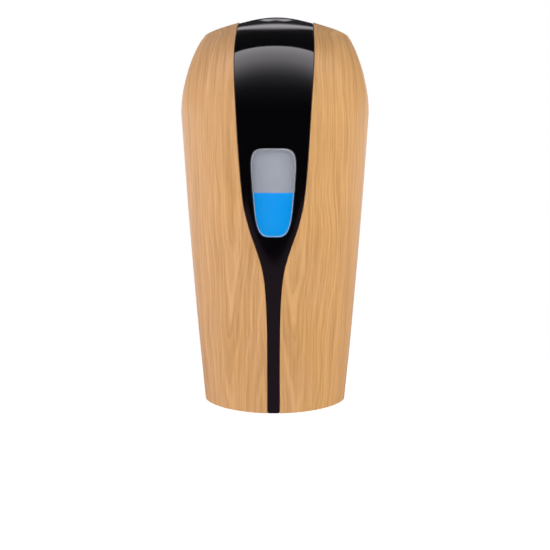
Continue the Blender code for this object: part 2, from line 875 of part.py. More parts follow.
def outward(level, travel):
    """Give the hood's outward direction at a point of a row."""
    share = min(abs(travel) / row_length(level), RIM_SLOPE_SHARE)
    low = max(level - SLOPE_STEP_SHARE, 0)
    high = min(level + SLOPE_STEP_SHARE, ROOF_LEVEL)
    upward = row_point(high, share * row_length(high)) - row_point(low, share * row_length(low))
    right = (share + SLOPE_STEP_SHARE) * row_length(level)
    left = (share - SLOPE_STEP_SHARE) * row_length(level)
    direction = (row_point(level, right) - row_point(level, left)).cross(upward).normalized()
    direction.x = math.copysign(direction.x, travel) if travel else 0
    return direction


def hood_point(level, travel, inset=0, rear_reach=COVER_REAR_GAP):
    """Give a point of the hood, or one set in below its surface, no nearer the wall than allowed."""
    point = row_point(level, travel)
    if inset:
        point -= outward(level, travel) * inset
    point.y = min(point.y, -rear_reach)
    return point


def seam_half_width(level):
    """Give the half width of the centre panel where it crosses a row."""
    share = 1 - (COVER_HEIGHT - station_at(level).nose_height) / SEAM_SPAN
    return PANEL_HALF_WIDTH * smooth_table(SEAM_KNOT_SHARES, max(share, 0))


def seam_travel(level):
    """Give the distance along a row from the nose to the seam."""
    return travel_to(level, seam_half_width(level))


def hood_levels():
    """List the levels of the rows that make the hood's skins."""
    dome = [WALL_LEVEL + (step + 1) / DOME_ROWS for step in range(DOME_ROWS)]
    roof = [DOME_LEVEL + (step + 1) / ROOF_ROWS for step in range(ROOF_ROWS)]
    return list(WALL_ROW_SHARES) + dome + roof


def level_of_height(height):
    """Give the wall level whose nose stands at a height."""
    return height / SHOULDER_HEIGHT


def spread(low, high, count):
    """Give evenly spaced values, both ends included."""
    return [between(low, high, step / count) for step in range(count + 1)]


def panel_skin(inset, flange, columns, levels, rear_reach=COVER_REAR_GAP):
    """Skin the middle of the hood as far as the seam, or past it by a flange."""
    rows = []
    for level in levels:
        edge = seam_travel(level) + flange
        rows.append([hood_point(level, travel, inset, rear_reach) for travel in spread(-edge, edge, columns)])
    return loft(rows)


def side_skin(side):
    """Skin one side of the hood, from the rim at the wall to the seam."""
    rows = []
    for level in hood_levels():
        seam = seam_travel(level) + SEAM_GAP / 2
        travels = spread(seam, row_length(level), SHELL_COLUMNS)
        if side < 0:
            travels = [-travel for travel in reversed(travels)]
        rows.append([hood_point(level, travel) for travel in travels])
    return loft(rows)


def plan_outline(level, inset, rear_reach, columns):
    """Give the hood's plan section at a level, set in and closed straight across the rear."""
    rim = row_length(level)
    outline = []
    for travel in spread(-rim, rim, 2 * columns):
        point = hood_point(level, travel, inset, rear_reach)
        outline.append((point.x, point.y))
    return outline


# Cover


def window_outline(grow):
    """Give the window's outline, grown by a margin, as (x, z) points."""
    points = round_outline(
        WINDOW_HALF_WIDTH + grow,
        WINDOW_HALF_HEIGHT + grow,
        WINDOW_HALF_HEIGHT + grow,
        WINDOW_TOP_POWER,
        WINDOW_FOOT_POWER,
        WINDOW_TAPER_SHARE,
        WINDOW_POINTS,
    )
    return [(across, WINDOW_CENTRE_HEIGHT + up) for across, up in points]


def window_tool(grow):
    """Make a bar of the window's outline that runs through the front of the hood."""
    return prism(window_outline(grow), COVER_DEPTH - SIDE_LENGTH / 2, COVER_DEPTH + CUT_OVERRUN, "y")


def button_outline(grow):
    """Give the latch button's plan outline, grown by a margin."""
    points = round_outline(
        BUTTON_HALF_WIDTH + grow,
        BUTTON_REAR_LENGTH + grow,
        BUTTON_FRONT_LENGTH + grow,
        BUTTON_REAR_POWER,
        BUTTON_FRONT_POWER,
        0,
        BUTTON_POINTS,
    )
    return [(across, up - BUTTON_CENTRE_REACH) for across, up in points]


def button_tool(grow):
    """Make a bar of the button's outline that stands through the roof."""
    return prism(button_outline(grow), BRIDGE_TOP - BRIDGE_WALL, COVER_HEIGHT + CUT_OVERRUN)


def roof_place(across, along):
    """Give the level and the distance along its row of the roof's point above a plan point."""
    low, high = DOME_LEVEL, ROOF_LEVEL
    for _ in range(ROOF_SEARCH_STEPS):
        level = (low + high) / 2
        travel = math.copysign(travel_to(level, abs(across)), across)
        if row_point(level, travel).y < along:
            low = level
        else:
            high = level
    return level, travel


def make_shells():
    """Make the two wood-look side shells."""
    for name, side in (("left_shell", -1), ("right_shell", 1)):
        piece(name, thicken(side_skin(side), SHELL_WALL), "wood_look", cover_hinge)


def make_centre_panel():
    """Make the spoon-shaped black panel with its window opening and button opening."""
    skin = panel_skin(0, -SEAM_GAP / 2, PANEL_COLUMNS, hood_levels())
    panel = piece("centre_panel", thicken(skin, SHELL_WALL), "gloss_black", cover_hinge)
    cut(panel, window_tool(0))
    cut(panel, button_tool(0))


def window_levels():
    """List the rows that pass behind the window."""
    margin = WINDOW_HALF_HEIGHT + 2 * WINDOW_LIP
    low = level_of_height(WINDOW_CENTRE_HEIGHT - margin)
    high = level_of_height(WINDOW_CENTRE_HEIGHT + margin)
    return spread(low, high, WINDOW_ROWS)


def window_skin(inset, wall):
    """Skin a patch behind the window, wider than the lens."""
    rows = []
    edge = WINDOW_HALF_WIDTH * (1 + WINDOW_TAPER_SHARE) + 2 * WINDOW_LIP
    for level in window_levels():
        rows.append([hood_point(level, travel, inset) for travel in spread(-edge, edge, WINDOW_COLUMNS)])
    return thicken(loft(rows), wall)


def make_window_lens():
    """Make the clear lens, which fills the opening and has a flange behind the panel."""
    flange_inset = SHELL_WALL + AIR_GAP
    raised_wall = flange_inset + LENS_FLANGE_WALL / 2 - LENS_SINK
    raised = trim(window_skin(LENS_SINK, raised_wall), window_tool(-LENS_GAP))
    raised.name = "lens_face"
    lens = piece("window_lens", window_skin(flange_inset, LENS_FLANGE_WALL), "smoked_clear", cover_hinge)
    trim(lens, window_tool(WINDOW_LIP))
    join(lens, raised)


def hoop_skin():
    """Skin the band that runs round inside the foot of the cover."""
    rows = []
    inset = SHELL_WALL + FRAME_GAP + HOOP_SINK
    for height in spread(HOOP_LOW, HOOP_HIGH, HOOP_ROWS):
        level = level_of_height(height)
        rim = row_length(level)
        travels = spread(-rim, rim, HOOP_COLUMNS)
        row = [hood_point(level, travel, inset, FRAME_REAR_REACH) for travel in travels]
        for point in row:
            point.z = height
        rows.append(row)
    return thicken(loft(rows), FRAME_WALL)


def make_cover_frame():
    """Make the carrier inside the cover: spine, foot hoop, hinge knuckles and the bridge under the button."""
    rear_share = (BROW_DEPTH - FRAME_REAR_REACH) / (BROW_DEPTH - COVER_REAR_GAP)
    levels = [level_of_height(FRAME_FOOT)] + hood_levels()[1:-1] + [DOME_LEVEL + rear_share]
    skin = panel_skin(SHELL_WALL + FRAME_GAP, FRAME_FLANGE, FRAME_COLUMNS, levels, FRAME_REAR_REACH)
    frame = piece("cover_frame", thicken(skin, FRAME_WALL), "black_plastic", cover_hinge)
    join(frame, hoop_skin())
    for side in (-1, 1):
        knuckle = rod(
            KNUCKLE_RADIUS,
            (side * EAR_INNER, -HINGE_REACH, HINGE_HEIGHT),
            (side * EAR_OUTER, -HINGE_REACH, HINGE_HEIGHT),
            SMALL_SEGMENTS,
        )
        join(frame, knuckle)
    cut(frame, window_tool(WINDOW_LIP + LENS_GAP))
    cut(frame, button_tool(BUTTON_GAP))
    floor = (BRIDGE_HEIGHT, BRIDGE_HEIGHT + BRIDGE_WALL)
    bridge_span = behind(BRIDGE_REAR_REACH, BRIDGE_FRONT_REACH)
    join(frame, block(both_sides(BRIDGE_HALF_WIDTH), bridge_span, floor))
    for side in (-1, 1):
        post_span = sorted((side * BRIDGE_INNER_HALF_WIDTH, side * BRIDGE_HALF_WIDTH))
        join(frame, block(post_span, bridge_span, (BRIDGE_HEIGHT + BRIDGE_WALL / 2, BRIDGE_TOP)))
        spot = side * LATCH_SPRING_SPACING
        top = floor[1] + LATCH_POST_HEIGHT
        post = rod(
            LATCH_POST_RADIUS,
            (spot, -BUTTON_CENTRE_REACH, floor[0] + BRIDGE_WALL / 2),
            (spot, -BUTTON_CENTRE_REACH, top),
            SMALL_SEGMENTS,
        )
        join(frame, post)
    stem_rear = BUTTON_STEM_REACH - BUTTON_STEM_WALL / 2 - BRIDGE_SLOT_GAP
    stem_front = BUTTON_STEM_REACH + BUTTON_STEM_WALL / 2 + BRIDGE_SLOT_GAP
    slot_span = both_sides(BUTTON_STEM_HALF_WIDTH + BRIDGE_SLOT_GAP)
    slot_heights = (floor[0] - CUT_OVERRUN, floor[1] + CUT_OVERRUN)
    cut(frame, block(slot_span, behind(stem_rear, stem_front), slot_heights))
    for side in (-1, 1):
        hole = rod(
            HINGE_PIN_RADIUS + HINGE_PIN_CLEARANCE,
            (side * (EAR_INNER - CUT_OVERRUN), -HINGE_REACH, HINGE_HEIGHT),
            (side * (EAR_OUTER - AIR_GAP), -HINGE_REACH, HINGE_HEIGHT),
            SMALL_SEGMENTS,
        )
        cut(frame, hole)


def make_latch_button():
    """Make the dished push button with its stem and the hook that lies under the catch."""
    rings = [(share, BUTTON_WALL) for share in BUTTON_RING_SHARES]
    rings += [(share, 0) for share in reversed(BUTTON_RING_SHARES)]
    rows = []
    for share, depth in rings:
        inset = BUTTON_SINK + BUTTON_DISH * (1 - share) + depth
        row = []
        for across, along in button_outline(-BUTTON_GAP):
            place = roof_place(across * share, between(-BUTTON_CENTRE_REACH, along, share))
            row.append(hood_point(*place, 0, 0) - Vector((0, 0, inset)))
        rows.append(row)
    button = piece("latch_button", loft(rows, ring=True, capped=True), "gloss_black", latch_pivot)
    stem_share = (BROW_DEPTH - BUTTON_STEM_REACH) / (BROW_DEPTH - COVER_REAR_GAP)
    roof_height = roof_station(stem_share).nose_height
    stem_top = roof_height - BUTTON_SINK - BUTTON_DISH - BUTTON_WALL / 2
    stem_front = -BUTTON_STEM_REACH - BUTTON_STEM_WALL / 2
    stem_rear = -BUTTON_STEM_REACH + BUTTON_STEM_WALL / 2
    hook_rear = -BUTTON_STEM_REACH + BUTTON_HOOK_LENGTH
    hook_top = BUTTON_HOOK_HEIGHT + BUTTON_HOOK_WALL
    stem_outline = [
        (stem_front, BUTTON_HOOK_HEIGHT),
        (hook_rear, BUTTON_HOOK_HEIGHT),
        (hook_rear, hook_top),
        (stem_rear, hook_top),
        (stem_rear, stem_top),
        (stem_front, stem_top),
    ]
    join(button, prism(stem_outline, -BUTTON_STEM_HALF_WIDTH, BUTTON_STEM_HALF_WIDTH, "x"))


def coil_points(centre, radius, low, high, curls):
    """Give the points of a helix between two heights, with a wire radius left at each end."""
    steps = curls * SPRING_CURL_POINTS
    points = []
    for step in range(steps + 1):
        turn = 2 * math.pi * step / SPRING_CURL_POINTS
        height = between(low + SPRING_WIRE_RADIUS, high - SPRING_WIRE_RADIUS, step / steps)
        across = centre[0] + radius * math.cos(turn)
        along = centre[1] + radius * math.sin(turn)
        points.append(Vector((across, along, height)))
    return points


def report_coil_gap(name, points):
    """Print how near a coil comes to itself, and stop if it is too near."""
    skip = SPRING_CURL_POINTS // 2
    pairs = [(a, b) for a in range(len(points)) for b in range(a + skip, len(points))]
    gap = min((points[a] - points[b]).length for a, b in pairs) - 2 * SPRING_WIRE_RADIUS
    print(name, "least gap to itself, mm:", round(gap / MILLIMETRE, 3))
    if gap < SPRING_LEAST_GAP:
        raise ValueError(name + " touches itself")


def make_spring(name, centre, radius, low, high, curls, pivot):
    """Make a compression spring as one unbroken wire."""
    points = coil_points(centre, radius, low, high, curls)
    report_coil_gap(name, points)
    piece(name, tube(points, SPRING_WIRE_RADIUS, WIRE_ROUNDNESS), "steel", pivot)


def make_latch_springs():
    """Make the two springs that push the button up."""
    low = BRIDGE_HEIGHT + BRIDGE_WALL + AIR_GAP
    for name, side in (("latch_spring_left", -1), ("latch_spring_right", 1)):
        centre = (side * LATCH_SPRING_SPACING, -BUTTON_CENTRE_REACH)
        make_spring(
            name, centre, LATCH_SPRING_RADIUS, low, LATCH_SPRING_TOP, LATCH_SPRING_CURLS, cover_hinge
        )


# Back plate


def side_half_width(height):
    """Give the cover's half width at the wall at a height."""
    if height > SHOULDER_HEIGHT:
        return shoulder_half_width(height)
    share = height / SHOULDER_HEIGHT
    swell_share = share + SIDE_BULGE_SHARE * share * (1 - share)
    return between(COVER_FOOT_HALF_WIDTH, COVER_MAX_HALF_WIDTH, swell_share)


def arch_height(across):
    """Give the height of the roof's arch at the wall."""
    return COVER_HEIGHT - (COVER_HEIGHT - CORNER_HEIGHT) * (across / CORNER_HALF_WIDTH) ** 2


def plate_outline(inset, with_foot):
    """Give the outline of the back plate as (x, z) points, set in from the cover's edge."""
    half = []
    if with_foot:
        half += [(PLATE_FOOT_HALF_WIDTH, PLATE_FOOT), (PLATE_FOOT_HALF_WIDTH, PLATE_FOOT_TOP)]
    corner = CORNER_HALF_WIDTH * PLATE_ARCH_SHARE - (inset - PLATE_INSET)
    side_top = arch_height(corner) - inset
    for height in spread(PLATE_SIDE_FOOT, SHOULDER_HEIGHT, PLATE_SIDE_POINTS // 2):
        half.append((side_half_width(height) - inset, height))
    for height in spread(SHOULDER_HEIGHT, side_top, PLATE_SIDE_POINTS // 2)[1:-1]:
        half.append((side_half_width(height) - inset, height))
    for across in spread(corner, 0, PLATE_ARCH_POINTS)[:-1]:
        half.append((across, arch_height(across) - inset))
    crown = [(0, arch_height(0) - inset)]
    return half + crown + [(-across, height) for across, height in reversed(half)]


def keyhole(across, height):
    """Make the tool for one keyhole: a round entry with a narrow slot above it."""
    deep = PLATE_WALL + CUT_OVERRUN
    entry = rod(KEYHOLE_HEAD_RADIUS, (across, CUT_OVERRUN, height), (across, -deep, height), SMALL_SEGMENTS)
    top = arc_points((across, height + KEYHOLE_SLOT_LENGTH), KEYHOLE_SLOT_RADIUS, 0, math.pi, KEYHOLE_POINTS)
    outline = [(across + KEYHOLE_SLOT_RADIUS, height)] + top + [(across - KEYHOLE_SLOT_RADIUS, height)]
    return entry, prism(outline, -CUT_OVERRUN, deep, "y")


def hinge_lug(side):
    """Make one lug that stands off the back plate and carries a hinge pin."""
    quarter = math.pi / 2
    arc = arc_points((-HINGE_REACH, HINGE_HEIGHT), KNUCKLE_RADIUS, quarter, 3 * quarter, KNUCKLE_POINTS)
    rear = -PLATE_WALL + JOIN_BITE
    outline = [(rear, HINGE_HEIGHT + KNUCKLE_RADIUS)] + arc + [(rear, HINGE_HEIGHT - KNUCKLE_RADIUS)]
    low, high = sorted((side * LUG_INNER, side * LUG_OUTER))
    return prism(outline, low, high, "x")


def make_back_plate():
    """Make the wall plate with keyholes, rim, ribs, hinge lugs and the catch for the button's hook."""
    sheet = prism(plate_outline(PLATE_INSET, True), 0, PLATE_WALL, "y")
    plate = piece("back_plate", sheet, "white_plastic", wall_mount)
    rim = prism(plate_outline(RIM_INSET, False), PLATE_WALL - JOIN_BITE, RIM_REACH, "y")
    rim.name = "plate_rim"
    cut(rim, prism(plate_outline(RIM_INSET + RIM_WALL, False), 0, RIM_REACH + CUT_OVERRUN, "y"))
    gate_width = both_sides(COVER_MAX_HALF_WIDTH)
    gate_heights = (PLATE_SIDE_FOOT - CUT_OVERRUN, PLATE_SIDE_FOOT + RIM_WALL + CUT_OVERRUN)
    cut(rim, block(gate_width, behind(PLATE_WALL - 2 * JOIN_BITE, RIM_REACH + CUT_OVERRUN), gate_heights))
    join(plate, rim)
    for side in (-1, 1):
        join(plate, hinge_lug(side))
        rib_low, rib_high = PLATE_RIB_SPACING - PLATE_RIB_WALL / 2, PLATE_RIB_SPACING + PLATE_RIB_WALL / 2
        rib_span = sorted((side * rib_low, side * rib_high))
        rib_reach = behind(PLATE_WALL - JOIN_BITE, PLATE_RIB_REACH)
        join(plate, block(rib_span, rib_reach, (PLATE_RIB_LOW, PLATE_RIB_HIGH)))
    catch_low = BUTTON_HOOK_HEIGHT + BUTTON_HOOK_WALL + CATCH_GAP
    catch_heights = (catch_low, catch_low + CATCH_WALL)
    catch_reach = behind(PLATE_WALL - JOIN_BITE, CATCH_REACH)
    join(plate, block(both_sides(CATCH_HALF_WIDTH), catch_reach, catch_heights))
    for height in KEYHOLE_HEIGHTS:
        for side in (-1, 1):
            for tool in keyhole(side * KEYHOLE_SPACING, height):
                cut(plate, tool)
    for side in (-1, 1):
        start = (side * (LUG_INNER - CUT_OVERRUN), -HINGE_REACH, HINGE_HEIGHT)
        end = (side * (LUG_OUTER + CUT_OVERRUN), -HINGE_REACH, HINGE_HEIGHT)
        cut(plate, rod(HINGE_PIN_RADIUS + HINGE_PIN_CLEARANCE, start, end, SMALL_SEGMENTS))


def make_hinge_pins():
    """Make the two headed pins on which the cover swings."""
    for name, side in (("hinge_pin_left", -1), ("hinge_pin_right", 1)):
        face = LUG_INNER - AIR_GAP
        tip = EAR_OUTER - 2 * AIR_GAP
        start = (side * (face - HINGE_HEAD_LENGTH), -HINGE_REACH, HINGE_HEIGHT)
        seat = (side * face, -HINGE_REACH, HINGE_HEIGHT)
        shank_start = (side * (face - HINGE_HEAD_LENGTH / 2), -HINGE_REACH, HINGE_HEIGHT)
        end = (side * tip, -HINGE_REACH, HINGE_HEIGHT)
        pin = piece(name, rod(HINGE_PIN_RADIUS, shank_start, end, SMALL_SEGMENTS), "steel", wall_mount)
        join(pin, rod(HINGE_HEAD_RADIUS, start, seat, SMALL_SEGMENTS))


# Machine case


def core_outline(inset=0):
    """Give the machine case's plan outline, or one set in from it by a wall."""
    slant = inset / 2
    half = [
        (CORE_WAIST_HALF_WIDTH - inset, -PLATE_WALL - SEAT_GAP - inset),
        (CORE_WAIST_HALF_WIDTH - inset, -CORE_WAIST_REACH - inset),
        (CORE_HALF_WIDTH - inset, -CORE_WAIST_REACH - inset),
        (CORE_HALF_WIDTH - inset, -CORE_FLANK_REACH + slant / 2),
        (CORE_CHEEK_HALF_WIDTH - inset + slant / 2, -CORE_CHEEK_REACH + slant),
        (CORE_FRONT_HALF_WIDTH - slant, -CORE_FRONT_REACH + inset),
    ]
    return mirrored(half)


def lid_screw_places():
    """List where the lid's screws stand, each with a name."""
    places = []
    for row, reach in zip(("rear", "front"), LID_SCREW_REACHES):
        for word, side in (("left", -1), ("right", 1)):
            places.append(("lid_screw_" + row + "_" + word, side * LID_SCREW_SPACING, -reach))
    return places


def cell_height(index):
    """Give the height of a cell's axis."""
    return CELL_LOW + CELL_PITCH * index


def tray_limits():
    """Give the battery tray's outer half width, rear reach, low and high."""
    half_width = CELL_LENGTH / 2 + CELL_NUB_LENGTH + 2 * TRAY_GAP + CONTACT_WALL + CONTACT_BUMP + TRAY_WALL
    rear = CELL_REACH - CELL_RADIUS - TRAY_GAP - TRAY_WALL
    low = cell_height(0) - CELL_RADIUS - TRAY_GAP - TRAY_WALL
    high = cell_height(CELL_COUNT - 1) + CELL_RADIUS + TRAY_GAP + TRAY_WALL
    return half_width, rear, low, high


def make_core_case():
    """Make the open-topped machine case with its bosses, board rails, motor cradles and openings."""
    case = piece("core_case", prism(core_outline(), CORE_FLOOR, CORE_RIM), "grey_plastic", wall_mount)
    cut(case, prism(core_outline(CORE_WALL), CORE_FLOOR + CORE_WALL, CORE_RIM + CUT_OVERRUN))
    half_width, rear, low, high = tray_limits()
    opening = both_sides(half_width + AIR_GAP)
    front = behind(CORE_FRONT_REACH - CORE_WALL - CUT_OVERRUN, CORE_FRONT_REACH + CUT_OVERRUN)
    cut(case, block(opening, front, (low - AIR_GAP, high + AIR_GAP)))
    for name, across, along in lid_screw_places():
        foot = (across, along, CORE_RIM - LID_BOSS_LENGTH)
        boss = rod(LID_BOSS_RADIUS, foot, (across, along, CORE_RIM), SMALL_SEGMENTS)
        join(case, boss)
        hole = rod(
            LID_SCREW_RADIUS + AIR_GAP,
            (across, along, CORE_RIM - LID_SCREW_LENGTH),
            (across, along, CORE_RIM + CUT_OVERRUN),
            SMALL_SEGMENTS,
        )
        cut(case, hole)
    for side in (-1, 1):
        near = side * (BOARD_HALF_WIDTH - BOARD_RAIL)
        far = side * (CORE_WAIST_HALF_WIDTH - CORE_WALL / 2)
        board_front = BOARD_REACH + BOARD_WALL + AIR_GAP
        rail_reach = behind(board_front, board_front + BOARD_RAIL / 2)
        join(case, block(sorted((near, far)), rail_reach, (BOARD_LOW, BOARD_HIGH)))
    for centre in (-MOTOR_LENGTH / 2 - CRADLE_SPACING / 2, -MOTOR_LENGTH / 2 + CRADLE_SPACING / 2):
        span = (centre - CRADLE_WALL / 2, centre + CRADLE_WALL / 2)
        reach = behind(MOTOR_REACH - CRADLE_HALF_WIDTH, MOTOR_REACH + CRADLE_HALF_WIDTH)
        cradle = block(span, reach, (CORE_FLOOR + CORE_WALL / 2, MOTOR_HEIGHT - MOTOR_RADIUS / 2))
        cradle.name = "motor_cradle"
        start = (span[0] - CUT_OVERRUN, -MOTOR_REACH, MOTOR_HEIGHT)
        end = (span[1] + CUT_OVERRUN, -MOTOR_REACH, MOTOR_HEIGHT)
        cut(cradle, rod(MOTOR_RADIUS + AIR_GAP, start, end))
        join(case, cradle)
    nozzle_low = (0, -NOZZLE_REACH, CORE_FLOOR - CUT_OVERRUN)
    nozzle_high = (0, -NOZZLE_REACH, CORE_FLOOR + CORE_WALL + CUT_OVERRUN)
    cut(case, rod(NOZZLE_BODY_RADIUS + AIR_GAP, nozzle_low, nozzle_high, SMALL_SEGMENTS))
    slot_reach = behind(
        SWITCH_REACH - SWITCH_KNOB_HALF_LENGTH - SWITCH_TRAVEL - AIR_GAP,
        SWITCH_REACH + SWITCH_KNOB_HALF_LENGTH + AIR_GAP,
    )
    slot_height = SWITCH_KNOB_HALF_HEIGHT + AIR_GAP
    slot_heights = (SWITCH_HEIGHT - slot_height, SWITCH_HEIGHT + slot_height)
    slot_span = (CORE_HALF_WIDTH - CORE_WALL - CUT_OVERRUN, CORE_HALF_WIDTH + CUT_OVERRUN)
    cut(case, block(slot_span, slot_reach, slot_heights))


def make_core_lid():
    """Make the lid, whose socket takes the tank's spout."""
    lid_low = CORE_RIM + AIR_GAP
    lid_high = lid_low + LID_WALL
    lid = piece("core_lid", prism(core_outline(), lid_low, lid_high), "grey_plastic", wall_mount)
    outer = SOCKET_BORE_RADIUS + SOCKET_WALL
    floor = SOCKET_FLOOR + SOCKET_WALL
    spigot_end = SOCKET_FLOOR - SOCKET_SPIGOT_LENGTH
    cup = [
        (0, lid_high - LID_WALL / 4),
        (outer, lid_high - LID_WALL / 4),
        (outer, SOCKET_FLOOR),
        (SOCKET_SPIGOT_RADIUS, SOCKET_FLOOR),
        (SOCKET_SPIGOT_RADIUS, spigot_end),
        (0, spigot_end),
    ]
    join(lid, turned(cup, (0, -SPOUT_REACH, 0)))
    bore = [
        (0, lid_high + CUT_OVERRUN),
        (SOCKET_BORE_RADIUS, lid_high + CUT_OVERRUN),
        (SOCKET_BORE_RADIUS, floor),
        (0, floor),
    ]
    cut(lid, turned(bore, (0, -SPOUT_REACH, 0)))
    drain = rod(
        SOCKET_SPIGOT_BORE,
        (0, -SPOUT_REACH, spigot_end - CUT_OVERRUN),
        (0, -SPOUT_REACH, floor + CUT_OVERRUN),
        SMALL_SEGMENTS,
    )
    cut(lid, drain)
    for name, across, along in lid_screw_places():
        top = (across, along, lid_high + CUT_OVERRUN)
        cut(lid, rod(LID_SCREW_RADIUS + AIR_GAP, (across, along, lid_low - CUT_OVERRUN), top, SMALL_SEGMENTS))


def screw_profile(head_radius, head_length, radius, length):
    """Give the turned profile of a socket-head screw whose head seats at height zero."""
    return [
        (0, head_length / 2),
        (head_radius / 2, head_length / 2),
        (head_radius / 2, head_length),
        (head_radius, head_length),
        (head_radius, 0),
        (radius, 0),
        (radius, -length),
        (0, -length),
    ]


def make_lid_screws():
    """Make the four screws that hold the lid."""
    seat = CORE_RIM + LID_WALL + 2 * AIR_GAP
    length = LID_SCREW_LENGTH - AIR_GAP
    profile = screw_profile(LID_SCREW_HEAD_RADIUS, LID_SCREW_HEAD_LENGTH, LID_SCREW_RADIUS, length)
    for name, across, along in lid_screw_places():
        piece(name, turned(profile, (across, along, seat), segments=FINE_SEGMENTS), "steel", wall_mount)


def ring_seal(ring_radius, wire_radius, height, reach):
    """Make a rubber ring lying flat."""
    profile = []
    for step in range(SEAL_STEPS):
        angle = math.pi / 2 - 2 * math.pi * step / SEAL_STEPS
        profile.append((ring_radius + wire_radius * math.cos(angle), wire_radius * math.sin(angle)))
    return turned(profile, (0, -reach, height), segments=SMALL_SEGMENTS, closed=True)


def make_socket_parts():
    """Make the ring that seals the spout in its socket."""
    ring_radius = (SOCKET_BORE_RADIUS + SPOUT_RADIUS) / 2
    seal_wire = (SOCKET_BORE_RADIUS - SPOUT_RADIUS) / 2 - AIR_GAP / 2
    height = SOCKET_FLOOR + SOCKET_WALL + seal_wire + AIR_GAP + SOCKET_WALL
    piece("socket_seal", ring_seal(ring_radius, seal_wire, height, SPOUT_REACH), "rubber", wall_mount)


def make_bottom_plate():
    """Make the plate that closes the foot, with its posts and the openings for nozzle and sensor."""
    level = level_of_height(BASE_LOW)
    outline = plan_outline(level, BASE_INSET, BASE_REAR_REACH, BASE_COLUMNS)
    plate = piece("bottom_plate", prism(outline, BASE_LOW, BASE_LOW + BASE_WALL), "black_plastic", wall_mount)
    for reach in BASE_POST_REACHES:
        for side in (-1, 1):
            across = side * BASE_POST_SPACING
            low = (across, -reach, BASE_LOW + BASE_WALL / 2)
            join(plate, rod(BASE_POST_RADIUS, low, (across, -reach, CORE_FLOOR - AIR_GAP), SMALL_SEGMENTS))
    for side in (-1, 1):
        across = side * (SENSOR_BOARD_HALF_WIDTH - STATUS_LAMP_RADIUS)
        low = (across, -SENSOR_REACH, BASE_LOW + BASE_WALL / 2)
        high = (across, -SENSOR_REACH, SENSOR_BOARD_LOW - AIR_GAP)
        join(plate, rod(STATUS_LAMP_RADIUS, low, high, SMALL_SEGMENTS))
    hole_low = (0, -NOZZLE_REACH, BASE_LOW - CUT_OVERRUN)
    hole_high = (0, -NOZZLE_REACH, BASE_LOW + BASE_WALL + CUT_OVERRUN)
    cut(plate, rod(NOZZLE_BODY_RADIUS + 2 * AIR_GAP, hole_low, hole_high, SMALL_SEGMENTS))
    window_reach = behind(SENSOR_REACH - SENSOR_WINDOW_HALF_LENGTH, SENSOR_REACH + SENSOR_WINDOW_HALF_LENGTH)
    through = (BASE_LOW - CUT_OVERRUN, BASE_LOW + BASE_WALL + CUT_OVERRUN)
    cut(plate, block(both_sides(SENSOR_WINDOW_HALF_WIDTH), window_reach, through))


def make_sensor():
    """Make the sensor's window, board and three lamps above the bottom plate."""
    seat = BASE_LOW + BASE_WALL
    gap = AIR_GAP
    width = SENSOR_WINDOW_HALF_WIDTH - gap
    length = SENSOR_WINDOW_HALF_LENGTH - gap
    face_reach = behind(SENSOR_REACH - length, SENSOR_REACH + length)
    face = block(both_sides(width), face_reach, (BASE_LOW, seat + 2 * gap))
    window = piece("sensor_window", face, "gloss_black", wall_mount)
    lip_width = SENSOR_WINDOW_HALF_WIDTH - STATUS_LAMP_RADIUS / 2
    lip_length = SENSOR_WINDOW_HALF_LENGTH + SENSOR_WINDOW_LIP
    lip_reach = behind(SENSOR_REACH - lip_length, SENSOR_REACH + lip_length)
    join(window, block(both_sides(lip_width), lip_reach, (seat + gap, seat + gap + SENSOR_WINDOW_WALL)))
    board_high = SENSOR_BOARD_LOW + SENSOR_BOARD_WALL
    board_reach = behind(SENSOR_REACH - SENSOR_BOARD_HALF_LENGTH, SENSOR_REACH + SENSOR_BOARD_HALF_LENGTH)
    board = block(both_sides(SENSOR_BOARD_HALF_WIDTH), board_reach, (SENSOR_BOARD_LOW, board_high))
    piece("sensor_board", board, "board_green", wall_mount)
    lamps = (
        ("ir_emitter", -SENSOR_SPACING, SENSOR_LAMP_RADIUS, "lamp_clear"),
        ("status_led", 0, STATUS_LAMP_RADIUS, "lamp_blue"),
        ("ir_receiver", SENSOR_SPACING, SENSOR_LAMP_RADIUS, "gloss_black"),
    )
    top = SENSOR_BOARD_LOW - gap
    tip = seat + gap + SENSOR_WINDOW_WALL + gap
    for name, across, radius, finish_name in lamps:
        profile = [(0, top), (radius, top), (radius, tip + radius / 2), (radius / 2, tip), (0, tip)]
        lamp = turned(profile, (across, -SENSOR_REACH, 0), segments=FINE_SEGMENTS)
        piece(name, lamp, finish_name, wall_mount)


# Motor and pump


